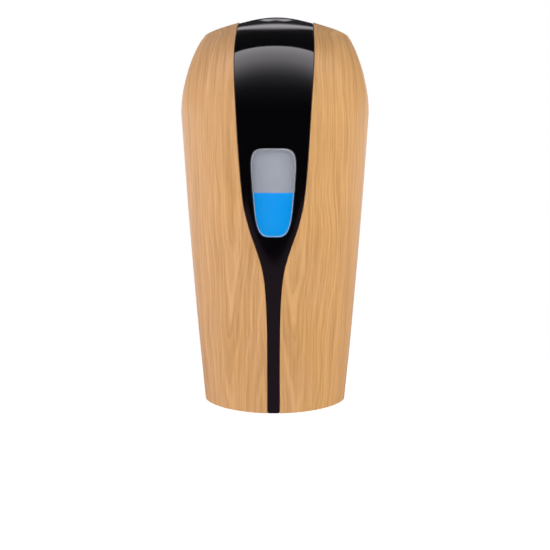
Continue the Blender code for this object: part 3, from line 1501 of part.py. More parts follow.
def make_motor():
    """Make the motor's can, its end cap with terminals, and its shaft."""
    place = (0, -MOTOR_REACH, MOTOR_HEIGHT)
    face = MOTOR_NOSE_LENGTH
    bore = MOTOR_SHAFT_RADIUS + AIR_GAP
    inner = MOTOR_RADIUS - MOTOR_CAN_WALL
    can = [
        (bore, 0),
        (MOTOR_NOSE_RADIUS, 0),
        (MOTOR_NOSE_RADIUS, -face),
        (MOTOR_RADIUS - MOTOR_EDGE, -face),
        (MOTOR_RADIUS, -face - MOTOR_EDGE),
        (MOTOR_RADIUS, -MOTOR_LENGTH),
        (inner, -MOTOR_LENGTH),
        (inner, -MOTOR_LENGTH + MOTOR_FACE),
        (bore, -MOTOR_LENGTH + MOTOR_FACE),
    ]
    piece("motor_can", turned(can, place, "x", closed=True), "steel", wall_mount)
    cap_start = -MOTOR_LENGTH + MOTOR_FACE - AIR_GAP
    cap_end = -MOTOR_LENGTH - MOTOR_CAP_LENGTH
    rim = inner - AIR_GAP
    cap = [
        (bore, cap_start),
        (rim, cap_start),
        (rim, -MOTOR_LENGTH - AIR_GAP),
        (MOTOR_CAP_RADIUS, -MOTOR_LENGTH - AIR_GAP),
        (MOTOR_CAP_RADIUS, cap_end + MOTOR_EDGE),
        (MOTOR_CAP_RADIUS - MOTOR_EDGE, cap_end),
        (bore, cap_end),
    ]
    end_cap = piece("motor_end_cap", turned(cap, place, "x", closed=True), "white_plastic", wall_mount)
    for side in (-1, 1):
        height = MOTOR_HEIGHT + side * MOTOR_TERMINAL_SPACING
        span = (cap_end - MOTOR_TERMINAL_LENGTH, cap_end + JOIN_BITE)
        thin = MOTOR_TERMINAL_WALL / 2
        wide = MOTOR_TERMINAL_WIDTH / 2
        reach = behind(MOTOR_REACH - wide, MOTOR_REACH + wide)
        join(end_cap, block(span, reach, (height - thin, height + thin)))
    shaft_end = pump_start() + PUMP_BACK_WALL + GEAR_SIDE_GAP + GEAR_LENGTH / 2
    shaft_start = -MOTOR_LENGTH + MOTOR_FACE
    line = (-MOTOR_REACH, MOTOR_HEIGHT)
    shaft = rod(MOTOR_SHAFT_RADIUS, (shaft_start, *line), (shaft_end, *line), SMALL_SEGMENTS)
    piece("motor_shaft", shaft, "steel", pump_drive)


def pump_start():
    """Give the X place where the pump's body begins, past the motor's nose."""
    return SEAT_GAP


def gear_pitch_radius():
    """Give the pitch radius of both gears."""
    return GEAR_MODULE * GEAR_TEETH / 2


def gear_tip_radius():
    """Give the outer radius of both gears."""
    return gear_pitch_radius() + GEAR_MODULE * GEAR_ADDENDUM_SHARE


def idler_reach():
    """Give the idler axis's distance from the wall, one centre distance ahead of the drive gear."""
    return MOTOR_REACH + 2 * gear_pitch_radius()


def gear_outline(phase):
    """Give an involute gear's outline about its own centre, turned by a phase."""
    pitch = gear_pitch_radius()
    base = pitch * math.cos(GEAR_PRESSURE_ANGLE)
    tip = gear_tip_radius()
    root = pitch - GEAR_MODULE * GEAR_DEDENDUM_SHARE
    half_tooth = math.pi / (2 * GEAR_TEETH) - GEAR_BACKLASH / (4 * pitch)
    pitch_roll = math.tan(GEAR_PRESSURE_ANGLE) - GEAR_PRESSURE_ANGLE
    flank = [(root, half_tooth + pitch_roll)]
    for step in range(1, GEAR_FLANK_POINTS):
        radius = between(base, tip, step / (GEAR_FLANK_POINTS - 1))
        roll = math.sqrt(max((radius / base) ** 2 - 1, 0))
        flank.append((radius, half_tooth + pitch_roll - (roll - math.atan(roll))))
    points = []
    for tooth in range(GEAR_TEETH):
        centre = phase + 2 * math.pi * tooth / GEAR_TEETH
        tooth_side = [(radius, centre - half) for radius, half in flank]
        other_side = [(radius, centre + half) for radius, half in reversed(flank)]
        for radius, angle in tooth_side + other_side:
            points.append((radius * math.cos(angle), radius * math.sin(angle)))
    return points


def make_gear(name, reach, phase, bore, pivot):
    """Make one pump gear about an axis along X."""
    start = pump_start() + PUMP_BACK_WALL + GEAR_SIDE_GAP
    outline = [(along - reach, up + MOTOR_HEIGHT) for along, up in gear_outline(phase)]
    gear = piece(name, prism(outline, start, start + GEAR_LENGTH, "x"), "white_plastic", pivot)
    ends = [(x, -reach, MOTOR_HEIGHT) for x in (start - CUT_OVERRUN, start + GEAR_LENGTH + CUT_OVERRUN)]
    cut(gear, rod(bore, *ends, SMALL_SEGMENTS))


def pump_outline(grow):
    """Give the pump's outline about the two gear axes as (y, z) points."""
    radius = gear_tip_radius() + grow
    quarter = math.pi / 2
    count = PUMP_OUTLINE_POINTS
    rear = arc_points((-MOTOR_REACH, MOTOR_HEIGHT), radius, -quarter, quarter, count)
    front = arc_points((-idler_reach(), MOTOR_HEIGHT), radius, quarter, 3 * quarter, count)
    return rear + front


def chamber_outline():
    """Give the figure-eight outline of the chamber that fits round both gears, as (y, z) points."""
    radius = gear_tip_radius() + GEAR_TIP_GAP
    waist = math.acos(gear_pitch_radius() / radius)
    reach = math.pi - waist
    rear = arc_points((-MOTOR_REACH, MOTOR_HEIGHT), radius, -reach, reach, CHAMBER_POINTS)
    front = arc_points((-idler_reach(), MOTOR_HEIGHT), radius, waist, 2 * math.pi - waist, CHAMBER_POINTS)
    return rear + front[1:-1]


def pump_screw_places():
    """List where the pump's screws stand, each with a name, at opposite corners of the chamber."""
    offset = (gear_tip_radius() + PUMP_WALL / 2) * math.sin(math.pi / 4)
    return (
        ("pump_screw_rear", -MOTOR_REACH + offset, MOTOR_HEIGHT + offset),
        ("pump_screw_front", -idler_reach() - offset, MOTOR_HEIGHT - offset),
    )


def pump_limits():
    """Give the X places of the pump body's front face and of its cover."""
    body_end = pump_start() + PUMP_BACK_WALL + 2 * GEAR_SIDE_GAP + GEAR_LENGTH
    return body_end, body_end + AIR_GAP, body_end + AIR_GAP + PUMP_COVER_WALL


def pump_spigot(direction):
    """Make one hose spigot of the pump, above or below the gears' mesh."""
    across = pump_start() + PUMP_BACK_WALL + GEAR_SIDE_GAP + GEAR_LENGTH / 2
    along = -(MOTOR_REACH + idler_reach()) / 2
    root = MOTOR_HEIGHT + direction * (gear_tip_radius() + PUMP_WALL / 2)
    end = MOTOR_HEIGHT + direction * (gear_tip_radius() + PUMP_WALL + PUMP_SPIGOT_LENGTH)
    spigot = rod(PUMP_SPIGOT_RADIUS, (across, along, root), (across, along, end), SMALL_SEGMENTS)
    inner = (across, along, MOTOR_HEIGHT + direction * gear_pitch_radius() / 2)
    outer = (across, along, end + direction * CUT_OVERRUN)
    bore = rod(PUMP_SPIGOT_BORE, inner, outer, FINE_SEGMENTS)
    return spigot, bore


def make_pump():
    """Make the pump's body and cover round the gears, with screws, shaft seal and idler pin."""
    body_end, cover_start, cover_end = pump_limits()
    body_block = prism(pump_outline(PUMP_WALL), pump_start(), body_end, "x")
    body = piece("pump_body", body_block, "natural_plastic", wall_mount)
    spigots = [pump_spigot(direction) for direction in (-1, 1)]
    for spigot, bore in spigots:
        join(body, spigot)
    chamber_start = pump_start() + PUMP_BACK_WALL
    cut(body, prism(chamber_outline(), chamber_start, body_end + CUT_OVERRUN, "x"))
    for spigot, bore in spigots:
        cut(body, bore)
    seal_start = pump_start() + PUMP_BACK_WALL - SHAFT_SEAL_LENGTH - 2 * AIR_GAP
    line = (-MOTOR_REACH, MOTOR_HEIGHT)
    seal_pocket = [(x, *line) for x in (seal_start, chamber_start + CUT_OVERRUN)]
    cut(body, rod(SHAFT_SEAL_RADIUS, *seal_pocket, SMALL_SEGMENTS))
    shaft_hole = [(x, *line) for x in (-CUT_OVERRUN, chamber_start)]
    cut(body, rod(MOTOR_SHAFT_RADIUS + AIR_GAP, *shaft_hole, SMALL_SEGMENTS))
    pin_line = (-idler_reach(), MOTOR_HEIGHT)
    pin_start = pump_start() + PUMP_BACK_WALL / 2
    pin_end = cover_start + PUMP_COVER_WALL / 2
    socket_radius = IDLER_PIN_RADIUS + AIR_GAP
    body_socket = [(x, *pin_line) for x in (pin_start - AIR_GAP, chamber_start + CUT_OVERRUN)]
    cut(body, rod(socket_radius, *body_socket, SMALL_SEGMENTS))
    cover_block = prism(pump_outline(PUMP_WALL), cover_start, cover_end, "x")
    cover = piece("pump_cover", cover_block, "natural_plastic", wall_mount)
    cover_socket = [(x, *pin_line) for x in (cover_start - CUT_OVERRUN, pin_end + AIR_GAP)]
    cut(cover, rod(socket_radius, *cover_socket, SMALL_SEGMENTS))
    pin = rod(IDLER_PIN_RADIUS, (pin_start, *pin_line), (pin_end, *pin_line), SMALL_SEGMENTS)
    piece("idler_pin", pin, "steel", wall_mount)
    seal = [
        (MOTOR_SHAFT_RADIUS + AIR_GAP, seal_start + AIR_GAP + SHAFT_SEAL_LENGTH),
        (SHAFT_SEAL_RADIUS - AIR_GAP, seal_start + AIR_GAP + SHAFT_SEAL_LENGTH),
        (SHAFT_SEAL_RADIUS - AIR_GAP, seal_start + AIR_GAP),
        (MOTOR_SHAFT_RADIUS + AIR_GAP, seal_start + AIR_GAP),
    ]
    piece("shaft_seal", turned(seal, (0, *line), "x", SMALL_SEGMENTS, True), "rubber", wall_mount)
    length = PUMP_SCREW_LENGTH
    profile = screw_profile(PUMP_SCREW_HEAD_RADIUS, PUMP_SCREW_HEAD_LENGTH, PUMP_SCREW_RADIUS, length)
    for name, along, up in pump_screw_places():
        hole = [(x, along, up) for x in (cover_end - length, cover_end + CUT_OVERRUN)]
        for target in (body, cover):
            cut(target, rod(PUMP_SCREW_RADIUS + AIR_GAP, *hole, FINE_SEGMENTS))
        screw = turned(profile, (cover_end + AIR_GAP, along, up), "x", FINE_SEGMENTS)
        piece(name, screw, "steel", wall_mount)


def hose_points(start, end):
    """Give the points of a hose that leaves both ends upright."""
    points = []
    for share in spread(0, 1, HOSE_POINTS):
        turn = share * share * (3 - 2 * share)
        point = Vector(start).lerp(Vector(end), turn)
        point.z = between(start[2], end[2], share)
        points.append(point)
    return points


def make_hose(name, start, end, overlap_start, overlap_end):
    """Make one silicone hose, listed downwards, whose ends slide over their spigots."""
    points = hose_points(start, end)
    first = points[0] + Vector((0, 0, overlap_start))
    last = points[-1] - Vector((0, 0, overlap_end))
    outer = [first] + points + [last]
    rise = Vector((0, 0, CUT_OVERRUN))
    bore = [first + rise] + points + [last - rise]
    hose = piece(name, tube(outer, HOSE_RADIUS, HOSE_ROUNDNESS), "silicone", wall_mount)
    cut(hose, tube(bore, HOSE_BORE, HOSE_ROUNDNESS))


def make_hoses():
    """Make the hose from the socket to the pump and the hose from the pump to the nozzle."""
    across = pump_start() + PUMP_BACK_WALL + GEAR_SIDE_GAP + GEAR_LENGTH / 2
    along = -(MOTOR_REACH + idler_reach()) / 2
    reach = gear_tip_radius() + PUMP_WALL + PUMP_SPIGOT_LENGTH
    socket_end = (0, -SPOUT_REACH, SOCKET_FLOOR - SOCKET_SPIGOT_LENGTH)
    make_hose("inlet_hose", socket_end, (across, along, MOTOR_HEIGHT + reach), HOSE_OVERLAP, HOSE_OVERLAP)
    nozzle_end = (0, -NOZZLE_REACH, NOZZLE_TOP)
    overlap = HOSE_OVERLAP / 2
    make_hose("outlet_hose", (across, along, MOTOR_HEIGHT - reach), nozzle_end, HOSE_OVERLAP, overlap)


def make_nozzle():
    """Make the nozzle, which passes through both floors, and the rubber valve in its mouth."""
    place = (0, -NOZZLE_REACH, 0)
    collar_low = CORE_FLOOR + CORE_WALL + AIR_GAP
    valve_top = NOZZLE_TIP + NOZZLE_VALVE_LENGTH
    pocket = NOZZLE_BODY_RADIUS - NOZZLE_VALVE_SLIT * 2
    profile = [
        (NOZZLE_BORE, NOZZLE_TOP),
        (PUMP_SPIGOT_RADIUS, NOZZLE_TOP),
        (PUMP_SPIGOT_RADIUS, collar_low + NOZZLE_COLLAR_LENGTH),
        (NOZZLE_COLLAR_RADIUS, collar_low + NOZZLE_COLLAR_LENGTH),
        (NOZZLE_COLLAR_RADIUS, collar_low),
        (NOZZLE_BODY_RADIUS, collar_low),
        (NOZZLE_BODY_RADIUS, NOZZLE_TIP),
        (pocket, NOZZLE_TIP),
        (pocket, valve_top),
        (NOZZLE_BORE, valve_top),
    ]
    piece("nozzle", turned(profile, place, segments=SMALL_SEGMENTS, closed=True), "white_plastic", wall_mount)
    rim = pocket - AIR_GAP
    high = valve_top - AIR_GAP
    low = NOZZLE_TIP - AIR_GAP
    shape = [(0, high), (rim, high), (rim, low + NOZZLE_VALVE_SLIT * 2), (rim / 2, low), (0, low)]
    valve = piece("nozzle_valve", turned(shape, place, segments=SMALL_SEGMENTS), "rubber", wall_mount)
    slit_reach = behind(NOZZLE_REACH - NOZZLE_VALVE_SLIT / 2, NOZZLE_REACH + NOZZLE_VALVE_SLIT / 2)
    cut(valve, block(both_sides(rim / 2), slit_reach, (low - CUT_OVERRUN, high - NOZZLE_VALVE_SLIT)))


# Electronics and batteries


def make_control_board():
    """Make the control board with its processor and capacitor."""
    reach = behind(BOARD_REACH, BOARD_REACH + BOARD_WALL)
    board = block(both_sides(BOARD_HALF_WIDTH), reach, (BOARD_LOW, BOARD_HIGH))
    piece("control_board", board, "board_green", wall_mount)
    face = BOARD_REACH + BOARD_WALL + AIR_GAP
    middle = between(BOARD_LOW, BOARD_HIGH, CHIP_HEIGHT_SHARE)
    half = PROCESSOR_WIDTH / 2
    chip = block(both_sides(half), behind(face, face + PROCESSOR_WALL), (middle - half, middle + half))
    piece("processor", chip, "black_plastic", wall_mount)
    spot = (-BOARD_HALF_WIDTH / 2, -face, middle)
    profile = [
        (0, CAPACITOR_LENGTH),
        (CAPACITOR_RADIUS - CELL_EDGE, CAPACITOR_LENGTH),
        (CAPACITOR_RADIUS, CAPACITOR_LENGTH - CELL_EDGE),
        (CAPACITOR_RADIUS, 0),
        (0, 0),
    ]
    piece("capacitor", turned(profile, spot, "y", SMALL_SEGMENTS), "steel", wall_mount)


def make_battery_bay():
    """Make the tray, the four cells, the two contact strips and the sliding door."""
    half_width, rear, low, high = tray_limits()
    front = CORE_FRONT_REACH
    tray = piece(
        "battery_tray",
        block(both_sides(half_width), behind(rear, front), (low, high)),
        "black_plastic",
        wall_mount,
    )
    inner = half_width - TRAY_WALL
    pocket_reach = behind(rear + TRAY_WALL, front + CUT_OVERRUN)
    cut(tray, block(both_sides(inner), pocket_reach, (low + TRAY_WALL, high - TRAY_WALL)))
    for side in (-1, 1):
        span = sorted((side * (DOOR_HALF_WIDTH + AIR_GAP), side * half_width))
        rail_reach = behind(front - JOIN_BITE, front + AIR_GAP + DOOR_WALL)
        join(tray, block(span, rail_reach, (low, high)))
    for side in (-1, 1):
        outer_face = side * (inner - AIR_GAP)
        inner_face = side * (inner - AIR_GAP - CONTACT_WALL)
        span = sorted((outer_face, inner_face))
        reach = behind(CELL_REACH - CELL_RADIUS, CELL_REACH + CELL_RADIUS)
        heights = (low + TRAY_WALL + TRAY_GAP, high - TRAY_WALL - TRAY_GAP)
        name = "contact_strip_right" if side > 0 else "contact_strip_left"
        strip = piece(name, block(span, reach, heights), "brass", wall_mount)
        for index in range(CELL_COUNT):
            start = (inner_face + side * CONTACT_WALL / 2, -CELL_REACH, cell_height(index))
            end = (inner_face - side * CONTACT_BUMP, -CELL_REACH, cell_height(index))
            join(strip, rod(CELL_NUB_RADIUS, start, end, FINE_SEGMENTS))
    half_length = CELL_LENGTH / 2
    for index in range(CELL_COUNT):
        sign = 1 if index % 2 == 0 else -1
        profile = [
            (0, half_length + CELL_NUB_LENGTH),
            (CELL_NUB_RADIUS, half_length + CELL_NUB_LENGTH),
            (CELL_NUB_RADIUS, half_length),
            (CELL_RADIUS - CELL_EDGE, half_length),
            (CELL_RADIUS, half_length - CELL_EDGE),
            (CELL_RADIUS, CELL_EDGE - half_length),
            (CELL_RADIUS - CELL_EDGE, -half_length),
            (0, -half_length),
        ]
        cell = turned(profile, (0, -CELL_REACH, cell_height(index)), "x", ROUND_SEGMENTS)
        if sign < 0:
            cell.rotation_euler = (0, -math.pi / 2, 0)
        piece("battery_" + str(index + 1), cell, "cell_wrap", wall_mount)
    door_face = CORE_FRONT_REACH + AIR_GAP
    door_reach = behind(door_face, door_face + DOOR_WALL)
    door_heights = (low + AIR_GAP, high)
    door = block(both_sides(DOOR_HALF_WIDTH), door_reach, door_heights)
    door = piece("battery_door", door, "grey_plastic", door_slide)
    for index in range(DOOR_GRIP_COUNT):
        height = DOOR_GRIP_HEIGHT - index * DOOR_GRIP_PITCH
        reach = behind(door_face + DOOR_WALL / 2, door_face + DOOR_WALL + DOOR_GRIP_RISE)
        join(door, block(both_sides(DOOR_GRIP_HALF_WIDTH), reach, (height, height + DOOR_GRIP_WALL)))


def make_switch():
    """Make the power switch's body inside the case and its knob through the wall."""
    inner_wall = CORE_HALF_WIDTH - CORE_WALL - AIR_GAP
    reach = behind(SWITCH_REACH - SWITCH_HALF_LENGTH, SWITCH_REACH + SWITCH_HALF_LENGTH)
    heights = (SWITCH_HEIGHT - SWITCH_HALF_HEIGHT, SWITCH_HEIGHT + SWITCH_HALF_HEIGHT)
    body = block((inner_wall - SWITCH_WALL, inner_wall), reach, heights)
    piece("switch_body", body, "black_plastic", wall_mount)
    knob_reach = behind(SWITCH_REACH - SWITCH_KNOB_HALF_LENGTH, SWITCH_REACH + SWITCH_KNOB_HALF_LENGTH)
    knob_heights = (SWITCH_HEIGHT - SWITCH_KNOB_HALF_HEIGHT, SWITCH_HEIGHT + SWITCH_KNOB_HALF_HEIGHT)
    knob_span = (inner_wall + AIR_GAP, CORE_HALF_WIDTH + SWITCH_KNOB_STANDOUT)
    piece("switch_knob", block(knob_span, knob_reach, knob_heights), "white_plastic", switch_slide)


# Tank


def tank_ring(height, inset, wall=0):
    """Give one round-cornered plan ring of the tank, counter-clockwise from the front."""
    station = wall_station(min(height, SHOULDER_HEIGHT) / SHOULDER_HEIGHT)
    half_width = station.half_width - TANK_SIDE_INSET - inset - wall
    front = station.depth - TANK_FRONT_INSET - inset - wall
    rear = TANK_REAR_REACH + inset + wall
    corner = TANK_CORNER_RADIUS
    nose_length = front - SIDE_LENGTH
    right = []
    for step in range(TANK_NOSE_POINTS):
        angle = math.pi / 2 * step / (TANK_NOSE_POINTS - 1)
        set_back = NOSE_ROUND_SHARE * (1 - math.cos(angle)) + (1 - NOSE_ROUND_SHARE) * math.sin(angle) ** 2
        right.append((half_width * math.sin(angle), -front + nose_length * set_back))
    right += arc_points((half_width - corner, -rear - corner), corner, 0, math.pi / 2, TANK_CORNER_POINTS)
    right += [(across, -rear) for across in spread(half_width - corner, 0, TANK_REAR_POINTS)[1:]]
    left = [(-across, along) for across, along in reversed(right[1:-1])]
    return [Vector((across, along, height)) for across, along in right + left]


def round_ring(height, radius, reach):
    """Give a circular ring with as many points as the tank's ring, listed from the front like it."""
    count = len(tank_ring(height, 0))
    angles = [2 * math.pi * step / count for step in range(count)]
    return [Vector((radius * math.sin(angle), -reach - radius * math.cos(angle), height)) for angle in angles]


def make_tank():
    """Make the hollow tank with its spout below and its filler neck on top."""
    rings = [
        round_ring(SPOUT_FOOT, SPOUT_HOLE_RADIUS, SPOUT_REACH),
        round_ring(SPOUT_FOOT, SPOUT_RADIUS, SPOUT_REACH),
        round_ring(TANK_FLOOR, SPOUT_RADIUS, SPOUT_REACH),
        tank_ring(TANK_FLOOR + TANK_WALL / 2, TANK_HEEL_INSET),
        tank_ring(TANK_HEEL, 0),
        tank_ring((TANK_HEEL + TANK_SHOULDER) / 2, 0),
        tank_ring(TANK_SHOULDER, 0),
        tank_ring(TANK_BROW, TANK_BROW_INSET),
        tank_ring(TANK_TOP, TANK_TOP_INSET),
        round_ring(TANK_TOP + TANK_WALL / 2, TANK_NECK_RADIUS, TANK_NECK_REACH),
        round_ring(TANK_NECK_TOP, TANK_NECK_RADIUS, TANK_NECK_REACH),
    ]
    piece("reservoir", thicken(loft(rings, ring=True), TANK_WALL), "natural_plastic", tank_lift)
    gap = TANK_WALL + SOAP_GAP
    soap_rings = [
        tank_ring(TANK_FLOOR + TANK_WALL + 2 * gap, TANK_HEEL_INSET + gap, 0),
        tank_ring(TANK_HEEL + gap, gap),
        tank_ring(SOAP_LEVEL, gap),
    ]
    piece("soap_fill", loft(soap_rings, ring=True, capped=True), "soap_blue", tank_lift)


def make_tank_valve():
    """Make the valve that closes the spout: cage, stem and spring.

    The socket's floor holds the stem up while the tank is seated, and the slot across its foot lets soap by.
    """
    inner = SPOUT_RADIUS - TANK_WALL - AIR_GAP
    place = (0, -SPOUT_REACH, 0)
    cage = [
        (CAGE_HOLE_RADIUS, CAGE_HEIGHT),
        (inner, CAGE_HEIGHT),
        (inner, CAGE_HEIGHT - CAGE_WALL),
        (CAGE_HOLE_RADIUS, CAGE_HEIGHT - CAGE_WALL),
    ]
    piece("valve_cage", turned(cage, place, segments=SMALL_SEGMENTS, closed=True), "white_plastic", tank_lift)
    seat = SPOUT_FOOT + TANK_WALL
    head_low = seat + AIR_GAP + VALVE_LIFT
    head_high = head_low + VALVE_HEAD_WALL
    stem_high = CAGE_HEIGHT - VALVE_HEAD_WALL / 2
    stem_low = SOCKET_FLOOR + SOCKET_WALL + AIR_GAP
    profile = [
        (0, stem_high),
        (VALVE_STEM_RADIUS, stem_high),
        (VALVE_STEM_RADIUS, head_high),
        (VALVE_HEAD_RADIUS, head_high),
        (VALVE_HEAD_RADIUS, head_low + VALVE_HEAD_WALL / 2),
        (VALVE_STEM_RADIUS, head_low),
        (VALVE_STEM_RADIUS, stem_low),
        (0, stem_low),
    ]
    stem = piece("valve_stem", turned(profile, place, segments=SMALL_SEGMENTS), "white_plastic", valve_slide)
    slot_reach = behind(SPOUT_REACH - VALVE_SLOT_WIDTH / 2, SPOUT_REACH + VALVE_SLOT_WIDTH / 2)
    slot_heights = (stem_low - CUT_OVERRUN, stem_low + VALVE_SLOT_WIDTH)
    cut(stem, block(both_sides(VALVE_HEAD_RADIUS), slot_reach, slot_heights))
    low = head_high + AIR_GAP
    high = CAGE_HEIGHT - CAGE_WALL - AIR_GAP
    centre = (0, -SPOUT_REACH)
    make_spring("valve_spring", centre, VALVE_SPRING_RADIUS, low, high, VALVE_SPRING_CURLS, tank_lift)


def make_filler_cap():
    """Make the ribbed cap of the filler neck and the ring seal under it."""
    bore = TANK_NECK_RADIUS + 2 * AIR_GAP
    ceiling = CAP_TOP - CAP_WALL
    profile = [
        (0, CAP_TOP),
        (CAP_RADIUS - CAP_RIB_RISE, CAP_TOP),
        (CAP_RADIUS, CAP_TOP - CAP_RIB_RISE),
        (CAP_RADIUS, CAP_SKIRT_LOW),
        (bore, CAP_SKIRT_LOW),
        (bore, ceiling),
        (0, ceiling),
    ]
    cap = piece("filler_cap", turned(profile, (0, -TANK_NECK_REACH, 0)), "white_plastic", cap_pivot)
    for index in range(CAP_RIB_COUNT):
        angle = 2 * math.pi * index / CAP_RIB_COUNT
        across = CAP_RADIUS * math.cos(angle)
        along = CAP_RADIUS * math.sin(angle) - TANK_NECK_REACH
        low = (across, along, CAP_SKIRT_LOW + CAP_RIB_RISE)
        high = (across, along, CAP_TOP - CAP_RIB_RISE)
        join(cap, rod(CAP_RIB_RISE, low, high, CAP_RIB_SIDES))
    grip_reach = behind(TANK_NECK_REACH - CAP_GRIP_HALF_WIDTH, TANK_NECK_REACH + CAP_GRIP_HALF_WIDTH)
    grip = block(both_sides(CAP_GRIP_LENGTH), grip_reach, (CAP_TOP - CAP_WALL / 2, CAP_TOP + CAP_GRIP_RISE))
    join(cap, grip)
    wire = (ceiling - TANK_NECK_TOP) / 2 - AIR_GAP / 2
    ring = TANK_NECK_RADIUS - TANK_WALL / 2
    height = (ceiling + TANK_NECK_TOP) / 2
    piece("cap_seal", ring_seal(ring, wire, height, TANK_NECK_REACH), "rubber", tank_lift)


clear_scene()
parts = new_collection(PART_NAME)
cutters = new_collection(PART_NAME + "_tools")
materials = {name: new_material(name, finish) for name, finish in FINISHES.items()}

wall_mount = new_pivot("wall_mount", (0, 0, MOUNT_HEIGHT))
cover_hinge = new_pivot("cover_hinge_axis", (0, -HINGE_REACH, HINGE_HEIGHT), wall_mount)
latch_pivot = new_pivot("latch_button_axis", (0, -BUTTON_CENTRE_REACH, COVER_HEIGHT), cover_hinge)
pump_drive = new_pivot("pump_drive_axis", (0, -MOTOR_REACH, MOTOR_HEIGHT), wall_mount)
pump_idler = new_pivot("pump_idler_axis", (0, -idler_reach(), MOTOR_HEIGHT), wall_mount)
door_slide = new_pivot("battery_door_axis", (0, -CORE_FRONT_REACH, CELL_LOW), wall_mount)
switch_slide = new_pivot("switch_axis", (CORE_HALF_WIDTH, -SWITCH_REACH, SWITCH_HEIGHT), wall_mount)
tank_lift = new_pivot("tank_axis", (0, -SPOUT_REACH, TANK_FLOOR), wall_mount)
valve_slide = new_pivot("valve_axis", (0, -SPOUT_REACH, SPOUT_FOOT), tank_lift)
cap_pivot = new_pivot("filler_cap_axis", (0, -TANK_NECK_REACH, CAP_TOP), tank_lift)

make_cover_frame()
make_shells()
make_centre_panel()
make_window_lens()
make_latch_button()
make_latch_springs()
make_back_plate()
make_hinge_pins()
make_core_case()
make_core_lid()
make_lid_screws()
make_socket_parts()
make_bottom_plate()
make_sensor()
make_motor()
make_gear("drive_gear", MOTOR_REACH, 0, MOTOR_SHAFT_RADIUS + AIR_GAP, pump_drive)
make_gear("idler_gear", idler_reach(), math.pi / GEAR_TEETH, IDLER_PIN_RADIUS + AIR_GAP, pump_idler)
make_pump()
make_hoses()
make_nozzle()
make_control_board()
make_battery_bay()
make_switch()
make_tank()
make_tank_valve()
make_filler_cap()
weld_cuts()
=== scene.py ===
"""Looks of the wall-mounted automatic soap dispenser.

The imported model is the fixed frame. The hood's visible skins, the window, the latch button and its
springs are made again here in finer form, and every other piece keeps its solid and gets its finish.
All lengths are in metres in the frame of the model: X to the right, Y back to the wall, Z up.
"""

import functools
import json
import math
from collections import namedtuple

import bpy
import numpy as np
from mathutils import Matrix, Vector


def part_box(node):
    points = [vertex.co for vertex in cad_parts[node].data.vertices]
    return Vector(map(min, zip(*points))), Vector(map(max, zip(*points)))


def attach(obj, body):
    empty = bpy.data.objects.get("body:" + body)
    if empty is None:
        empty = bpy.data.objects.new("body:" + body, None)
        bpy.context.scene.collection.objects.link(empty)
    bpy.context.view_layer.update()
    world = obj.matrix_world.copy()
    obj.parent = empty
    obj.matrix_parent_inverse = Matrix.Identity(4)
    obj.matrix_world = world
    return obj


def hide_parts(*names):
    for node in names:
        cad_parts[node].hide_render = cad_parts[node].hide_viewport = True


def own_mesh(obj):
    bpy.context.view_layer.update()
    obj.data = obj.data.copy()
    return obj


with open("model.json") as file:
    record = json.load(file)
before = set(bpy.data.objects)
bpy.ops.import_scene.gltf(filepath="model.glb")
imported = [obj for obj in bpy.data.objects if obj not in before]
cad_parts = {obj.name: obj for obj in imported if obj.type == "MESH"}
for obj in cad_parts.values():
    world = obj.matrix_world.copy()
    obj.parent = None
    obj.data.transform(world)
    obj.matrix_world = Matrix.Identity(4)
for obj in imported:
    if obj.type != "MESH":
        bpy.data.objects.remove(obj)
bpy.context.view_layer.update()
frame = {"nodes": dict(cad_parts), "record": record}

bl_info = {
    "name": "Soap dispenser looks",
    "version": (1, 0, 0),
    "blender": (4, 5, 0),
    "location": "3D View > Sidebar > Dispenser",
    "description": "Builds the finished looks of a wall-mounted automatic soap dispenser",
    "category": "Object",
}

MILLIMETRE = 0.001
WELD_DISTANCE = 0.000002

# Edges between faces that meet at more than these angles stay sharp, or are rounded
EDGE_ANGLE = math.radians(34)
LENS_EDGE_ANGLE = math.radians(30)
BEVEL_ANGLE = math.radians(40)
BEVEL_SEGMENTS = 3
INNER_BEVEL_SEGMENTS = 2

# Form of the hood, as in the part's source. Heights here are measured from the cover's lowest point.
MOUNT_HEIGHT = 0.1600
COVER_HEIGHT = 0.270
COVER_DEPTH = 0.112
COVER_MAX_HALF_WIDTH = 0.0652
COVER_FOOT_HALF_WIDTH = 0.0490
COVER_FOOT_DEPTH = 0.103
COVER_REAR_GAP = 0.002
FOOT_RISE = 0.008
SHOULDER_DROP = 0.067
SHOULDER_HEIGHT = COVER_HEIGHT - SHOULDER_DROP
SIDE_LENGTH = 0.050
CORNER_HALF_WIDTH = 0.0522
CORNER_HEIGHT = 0.255
BROW_DEPTH = 0.062
BROW_HEIGHT = 0.2576
ROOF_LEAN_SHARE = 1.5
DOME_END_ANGLE = math.radians(65)
SIDE_BULGE_SHARE = 0.22
DEPTH_BULGE_SHARE = 0.35
NOSE_ROUND_SHARE = 0.6
SHOULDER_POWER = 1.8
SIDE_FADE_POWER = 2.0
FOOT_FADE_POWER = 3.0
WALL_LEVEL = 1.0
DOME_LEVEL = 2.0
ROOF_LEVEL = 3.0
SLOPE_STEP_SHARE = 0.01
RIM_SLOPE_SHARE = 0.96
PANEL_HALF_WIDTH = 0.0272
SEAM_KNOT_SHARES = (
    (0.00, 0.150),
    (0.20, 0.155),
    (0.30, 0.190),
    (0.36, 0.262),
    (0.41, 0.405),
    (0.47, 0.610),
    (0.53, 0.750),
    (0.63, 0.850),
    (0.78, 0.940),
    (0.90, 1.000),
    (1.00, 0.970),
)
SHELL_WALL = 0.0022
SEAM_GAP = 0.0005

